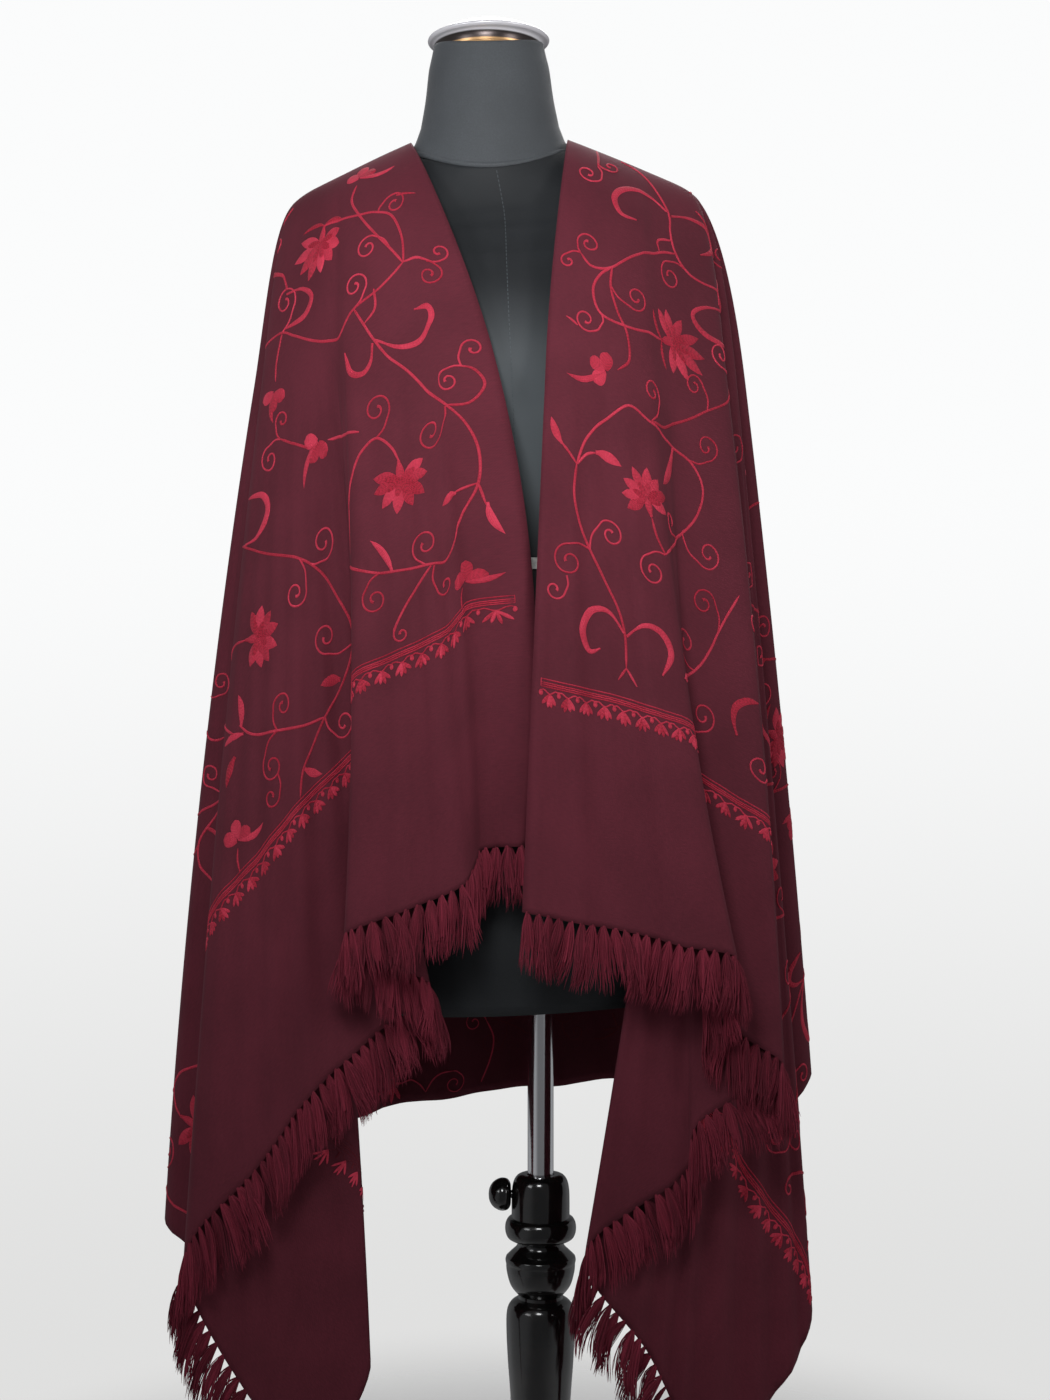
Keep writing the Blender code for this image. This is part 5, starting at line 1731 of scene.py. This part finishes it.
class SHAWL_OT_embroidery(bpy.types.Operator):
    """Work the vines, flowers and borders in raised chain stitch, with their threads behind"""
    bl_idname = "shawl.embroidery"
    bl_label = "Embroidery"

    def execute(self, context):
        settings = context.scene.shawl_embroidery
        needle = Needle(the_drape(), settings)
        for working in WORKINGS:
            needle.working = working
            needle.through = working.motifs is HEM_SPRAY
            for motif in needle.sewn(working.motifs):
                needle.work(motif)
        for name, down_s, start, drift in (("border_left", -1, BORDER_LEFT, BORDER_LEFT_DRIFT),
                                           ("border_right", 1, BORDER_RIGHT, 0.0)):
            needle.working = Working(name, (), 0, 0, down_s, 0, 0, 1)
            border(needle, start, drift)
        right = chain_stitch("chain_stitch", settings.thread, settings.bright, settings.shade)
        wrong = chain_stitch("reverse_thread", settings.reverse, settings.bright,
                             [channel * 0.6 for channel in settings.reverse])
        for name, (bm, _) in needle.meshes.items():
            reverse = name.endswith("_reverse")
            self.face_out(bm, needle.drape, reverse)
            finished(name, bm, wrong if reverse else right, "form", "shawl")
        return {"FINISHED"}

    def face_out(self, bm, drape, reverse):
        """Turn every strip so that it faces away from the cloth."""
        tree = BVHTree.FromPolygons(drape.points, drape.faces)
        bm.normal_update()
        wrong = []
        for face in bm.faces:
            spot, _, index, _ = tree.find_nearest(face.calc_center_median())
            if index is None:
                continue
            normal = sum((drape.normals[corner] for corner in drape.faces[index]), Vector())
            if (face.normal.dot(normal) < 0.0) != reverse:
                wrong.append(face)
        bmesh.ops.reverse_faces(bm, faces=wrong)


# ---- the fringe -----------------------------------------------------------------------------

class ShawlFringeSettings(bpy.types.PropertyGroup):
    spacing: length_setting("Spacing", "Distance between tassels along the hem", 0.0110, 0.005, 0.03)
    length: length_setting("Length", "Length of a tassel", 0.064, 0.02, 0.1)
    strands: count_setting("Strands", "Loose yarns over the body of a tassel", 30, 6, 40)
    strand_radius: length_setting("Strand radius", "Radius of one yarn", 0.00045, 0.0002, 0.002)
    light: colour_setting("Yarn", "Yarn where it is lightest", (0.60, 0.20, 0.28))
    dark: colour_setting("Yarn, dark", "Yarn where it is darkest", (0.36, 0.115, 0.165))


# Where a tassel is tied, in centimetres of the flat cut: how far inside the end, how far behind
# that its fall is taken from, and how near to a side its breadth is measured.
TIE_INSET = 0.15
TIE_BEHIND = 2.0
SIDE_MARGIN = 0.05
# A tassel's half breadth and the run over which it opens, in metres, and its solid core.
BREADTH_GROW = 1.45
BREADTH_LEAST = 0.0066
BREADTH_MOST = 0.0092
OPENING_RUN = 0.024
ROOT_SHARE = 0.20
CORE_LENGTH = 0.66
CORE_BREADTH = 0.72
CORE_DEPTH = 0.0010
CORE_SLIMMING = 0.6
CORE_SIDES = 8
# How a tassel hangs: what it is scaled by, how far it leans and twists, how it bends down
# towards its tip, and its slow sway and finer ripple, in metres and radians.
BREADTHS = (0.90, 1.15)
LENGTHS = (0.86, 1.02)
LEAN = 0.22
TWIST = 0.55
TURNING = 0.45
DROOP_ROOT = 0.06
DROOP_GROW = 0.48
SWAY = 0.006
RIPPLE = 0.0012
RIPPLE_ANGLE = 6.0
ROUND_ANGLE = 6.28
# Its yarns: their share of its length, how they spread and stray, and how their tints vary.
YARN_LENGTHS = (0.82, 1.06)
YARN_SHORTER = 0.05
YARN_DRIFT = 0.0045
YARN_SPREAD = 0.12
YARN_BULK = 0.0012
YARN_SCATTER = 0.0007
YARN_STRAY = 0.0009
YARN_STRAY_ANGLE = 7.0
TINTS = (0.2, 0.8)
TINT_SPREAD = 0.35
YARN_STEPS = 8
YARN_SIDES = 3
YARN_TIP = 0.25
# A direction that no yarn follows, from which the sides of each are found.
YARN_ASIDE = (0.31, 0.93, 0.19)


def tassel(bm, layer, drape, end, across, settings, dice):
    """One tassel: a narrow root at the hem that opens into a soft flat bunch of yarns."""
    inward = 1.0 if end < 0 else -1.0
    half_gap = WIDTH * CM / (2.0 * round(WIDTH * CM / settings.spacing)) / CM
    tie = end + TIE_INSET * inward
    root, normal = drape.place(tie, across)
    behind = drape.place(end + TIE_BEHIND * inward, across)[0]
    one_side = drape.place(tie, max(across - half_gap, SIDE_MARGIN))[0]
    other_side = drape.place(tie, min(across + half_gap, WIDTH - SIDE_MARGIN))[0]
    fall = (root - behind).normalized()
    along_hem = max((root - one_side, other_side - root), key=lambda span: span.length)
    broad = (limited(along_hem.length * BREADTH_GROW, BREADTH_LEAST, BREADTH_MOST)
             * dice.uniform(*BREADTHS))
    along_hem.normalize()
    length = settings.length * dice.uniform(*LENGTHS)
    lean = along_hem * dice.uniform(-LEAN, LEAN)
    twist = dice.uniform(-TWIST, TWIST)
    turning = dice.uniform(-TURNING, TURNING)
    sway = dice.uniform(-SWAY, SWAY)
    phase = dice.uniform(0.0, ROUND_ANGLE)

    def centre(run):
        share = run / length
        droop = DROOP_ROOT + DROOP_GROW * share
        ahead = (fall * (1.0 - droop) + Vector((0.0, 0.0, -droop)) + lean).normalized()
        wave = sway * share * share + RIPPLE * math.sin(phase + RIPPLE_ANGLE * share) * share
        return root + ahead * run + along_hem * wave

    def axes(run):
        turn = twist + turning * run / length
        flat = (along_hem * math.cos(turn) + normal * math.sin(turn)).normalized()
        return flat, flat.cross(fall).normalized()

    def opened(run):
        return ROOT_SHARE + (1.0 - ROOT_SHARE) * math.sin(min(run / OPENING_RUN, 1.0) * math.pi / 2.0)

    tint = dice.uniform(*TINTS)
    core = grid_strip(bm, CORE_SIDES + 1, YARN_STEPS)
    for (column, row), vert in core.items():
        share = row / (YARN_STEPS - 1)
        run = length * CORE_LENGTH * share
        angle = 2.0 * math.pi * (column % CORE_SIDES) / CORE_SIDES
        flat, thick = axes(run)
        slim = 1.0 - CORE_SLIMMING * share * share
        vert.co = (centre(run) + flat * (math.cos(angle) * broad * CORE_BREADTH * opened(run) * slim)
                   + thick * (math.sin(angle) * CORE_DEPTH * opened(run) * slim))
        vert[layer] = Vector((share, tint, column / CORE_SIDES))
    for strand in range(settings.strands):
        side = -1.0 + 2.0 * (strand + dice.uniform(0.0, 1.0)) / settings.strands
        depth = dice.uniform(-1.0, 1.0)
        reach = length * dice.uniform(*YARN_LENGTHS) * (1.0 - YARN_SHORTER * side * side)
        wander = dice.uniform(0.0, ROUND_ANGLE)
        drift = dice.uniform(-YARN_DRIFT, YARN_DRIFT)
        path = []
        for step in range(YARN_STEPS):
            share = step / (YARN_STEPS - 1)
            run = reach * share
            flat, thick = axes(run)
            spread = side * broad * opened(run) * (1.0 + YARN_SPREAD * share)
            bulk = YARN_BULK * math.sqrt(max(1.0 - side * side, 0.1)) * (1.0 if depth > 0 else -1.0)
            path.append(centre(run) + flat * (spread + drift * share * share)
                        + thick * ((bulk + depth * YARN_SCATTER) * opened(run))
                        + flat * (YARN_STRAY * math.sin(wander + share * YARN_STRAY_ANGLE) * share))
        shade = limited(tint + dice.uniform(-TINT_SPREAD, TINT_SPREAD), 0.0, 1.0)
        yarn(bm, layer, path, settings.strand_radius, shade)


def yarn(bm, layer, path, radius, tint):
    """A thin three-sided yarn along a path, pointed at its end."""
    last = len(path) - 1
    grid = grid_strip(bm, YARN_SIDES + 1, len(path))
    for (column, row), vert in grid.items():
        ahead = path[min(row + 1, last)] - path[max(row - 1, 0)]
        side = ahead.cross(Vector(YARN_ASIDE)).normalized()
        out = side.cross(ahead).normalized()
        around = (column % YARN_SIDES) / YARN_SIDES
        angle = 2.0 * math.pi * (column % YARN_SIDES) / YARN_SIDES
        thick = radius * (YARN_TIP if row == last else 1.0)
        vert.co = path[row] + (side * math.cos(angle) + out * math.sin(angle)) * thick
        vert[layer] = Vector((row / last, tint, around))


class SHAWL_OT_fringe(bpy.types.Operator):
    bl_idname = "shawl.fringe"
    bl_label = "Knotted fringe"

    def execute(self, context):
        settings = context.scene.shawl_fringe
        drape = the_drape()
        material = fringe_yarn("fringe_yarn", settings.light, settings.dark)
        count = round(WIDTH * CM / settings.spacing)
        for end, name, word in ((LEFT_END, "fringe_left", "_left"), (RIGHT_END, "fringe_right", "_right")):
            dice = random.Random(name)
            bm = bmesh.new()
            layer = bm.verts.layers.float_vector.new("strand")
            for index in range(count):
                across = (index + 0.5) * WIDTH / count
                tassel(bm, layer, drape, end, across, settings, dice)
            weld(bm, 2.0 * WELD)
            nodes = [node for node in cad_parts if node.startswith("fringe_") and node.endswith(word)]
            finished(name, bm, material, "form", "fringe", *nodes)
        return {"FINISHED"}


# ---- the studio -----------------------------------------------------------------------------

FLOOR_DROP = 0.0005
FLOOR_FADE = (0.10, 0.30)
# The wall that the camera sees: painted shade low down, pale higher up.
WALL_SHADE_LOW = (0.74, 0.74, 0.735, 1.0)
WALL_HIGH = (0.965, 0.97, 0.972, 1.0)
ROOM_DARK = (0.13, 0.132, 0.137, 1.0)
ROOM_LIGHT = (0.30, 0.305, 0.315, 1.0)
LIGHTS_AIM = (0.0, 0.0, 1.36)
Softbox = namedtuple("Softbox", "name spot size power wide tint")
SOFTBOXES = (
    Softbox("key_softbox", (-0.16, -1.20, 1.38), 0.35, 4.7, 2.2, (0.98, 0.99, 1.0)),
    Softbox("left_softbox", (-1.9, -1.7, 1.8), 0.8, 1.5, 1.0, (0.97, 0.98, 1.0)),
    Softbox("right_softbox", (1.9, -1.7, 1.8), 0.8, 1.9, 1.0, (1.0, 0.98, 0.97)),
    Softbox("top_softbox", (0.2, 1.5, 2.8), 1.6, 7.0, 1.0, (1.0, 1.0, 1.0)),
)
CAMERA_X = -0.0156
CAMERA_Z = 0.90
SENSOR_MM = 36.0
LENS_MM = 51.43


class ShawlStudioSettings(bpy.types.PropertyGroup):
    floor: colour_setting("Floor", "Colour of the floor", (0.93, 0.93, 0.93))
    floor_radius: length_setting("Floor radius",
                                 "How far the floor reaches before it fades into the wall", 3.0, 0.5, 20.0)
    spread_deg: bpy.props.FloatProperty(
        name="Spread", description="How wide each softbox throws its light, in degrees", default=58.0,
        min=10.0, max=180.0)
    camera_distance: length_setting("Camera distance", "From the camera to the pole's axis", 2.0, 0.5, 10.0)


class SHAWL_OT_studio(bpy.types.Operator):
    """Set the pale floor, the soft lights and the camera"""
    bl_idname = "shawl.studio"
    bl_label = "Studio"

    def execute(self, context):
        settings = context.scene.shawl_studio
        bm = bmesh.new()
        bmesh.ops.create_circle(bm, cap_ends=True, segments=96, radius=settings.floor_radius)
        bmesh.ops.translate(bm, vec=(0.0, 0.0, -FLOOR_DROP), verts=bm.verts)
        paint = Finish("studio_paint", Roughness=0.9, Specular_IOR_Level=0.1)
        cloud = paint.noise(paint.object_place(), 1.5, 2.0)
        pale = linear(settings.floor)
        paler = linear([min(c * 1.03, 1.0) for c in settings.floor])
        paint.set("Base Color", paint.mix(cloud, pale, paler))
        x, y, _ = paint.parts(paint.object_place())
        reach = paint.maths("SQRT", x * x + y * y)
        near, far = (settings.floor_radius * share for share in FLOOR_FADE)
        paint.set("Alpha", 1.0 - paint.smooth(reach, near, far))
        floor = meshed("studio_floor", bm, paint.material)
        context.scene.view_settings.view_transform = "Standard"
        self.lights(context, settings)
        self.camera(context, settings)
        return {"FINISHED"}

    def lights(self, context, settings):
        world = bpy.data.worlds.new("studio_air")
        context.scene.world = world
        world.use_nodes = True
        air = Finish.on(world.node_tree)
        _, _, height = air.parts(air.node("ShaderNodeTexCoord"))
        # Painted shade: the wall seen by the camera darkens towards the bottom of the view.
        wall = air.mix(air.smooth(height, -0.34, 0.12), WALL_SHADE_LOW, WALL_HIGH)
        side, _, _ = air.parts(air.node("ShaderNodeTexCoord"))
        window = air.smooth(air.maths("ABSOLUTE", side), 0.35, 0.8)
        room = air.mix(window, ROOM_DARK, ROOM_LIGHT)
        seen = air.node("ShaderNodeLightPath")
        air.feed(world.node_tree.nodes["Background"].inputs["Color"], air.mix(seen, room, wall))
        for box in SOFTBOXES:
            lamp = bpy.data.lights.new(box.name, "AREA")
            lamp.shape = "SQUARE"
            lamp.size = box.size
            lamp.energy = box.power
            lamp.color = box.tint
            lamp.spread = math.radians(settings.spread_deg * box.wide)
            item = linked(box.name, lamp)
            item.location = box.spot
            aim = Vector(LIGHTS_AIM) - Vector(box.spot)
            item.rotation_euler = aim.to_track_quat("-Z", "Y").to_euler()
            item.visible_camera = False

    def camera(self, context, settings):
        lens = bpy.data.cameras.new("studio_camera")
        lens.sensor_width = SENSOR_MM
        lens.lens = LENS_MM
        item = linked("studio_camera", lens)
        item.location = (CAMERA_X, -settings.camera_distance, CAMERA_Z)
        item.rotation_euler = (math.radians(90.0), 0.0, 0.0)
        context.scene.camera = item


# ---- the add-on -----------------------------------------------------------------------------

SETTINGS = {
    "shawl_form": ShawlFormSettings,
    "shawl_stand": ShawlStandSettings,
    "shawl_cloth": ShawlClothSettings,
    "shawl_embroidery": ShawlEmbroiderySettings,
    "shawl_fringe": ShawlFringeSettings,
    "shawl_studio": ShawlStudioSettings,
}
OPERATORS = (SHAWL_OT_dress_form, SHAWL_OT_stand, SHAWL_OT_cloth, SHAWL_OT_embroidery, SHAWL_OT_fringe,
             SHAWL_OT_studio)


class SHAWL_PT_panel(bpy.types.Panel):
    """Lists the pieces of the shawl and its form"""
    bl_idname = "SHAWL_PT_panel"
    bl_label = "Kashmiri shawl"
    bl_space_type = "VIEW_3D"
    bl_region_type = "UI"
    bl_category = "Shawl"

    def draw(self, context):
        for operator in OPERATORS:
            self.layout.operator(operator.bl_idname)
        for name, group in SETTINGS.items():
            box = self.layout.box()
            for field in group.__annotations__:
                box.prop(getattr(context.scene, name), field)


def register():
    for group in SETTINGS.values():
        bpy.utils.register_class(group)
    for operator in OPERATORS:
        bpy.utils.register_class(operator)
    bpy.utils.register_class(SHAWL_PT_panel)
    for name, group in SETTINGS.items():
        setattr(bpy.types.Scene, name, bpy.props.PointerProperty(type=group))


def unregister():
    for name in SETTINGS:
        delattr(bpy.types.Scene, name)
    bpy.utils.unregister_class(SHAWL_PT_panel)
    for operator in reversed(OPERATORS):
        bpy.utils.unregister_class(operator)
    for group in reversed(SETTINGS.values()):
        bpy.utils.unregister_class(group)


def main():
    register()
    for operator in OPERATORS:
        family, name = operator.bl_idname.split(".")
        getattr(getattr(bpy.ops, family), name)()


if __name__ == "__main__":
    main()
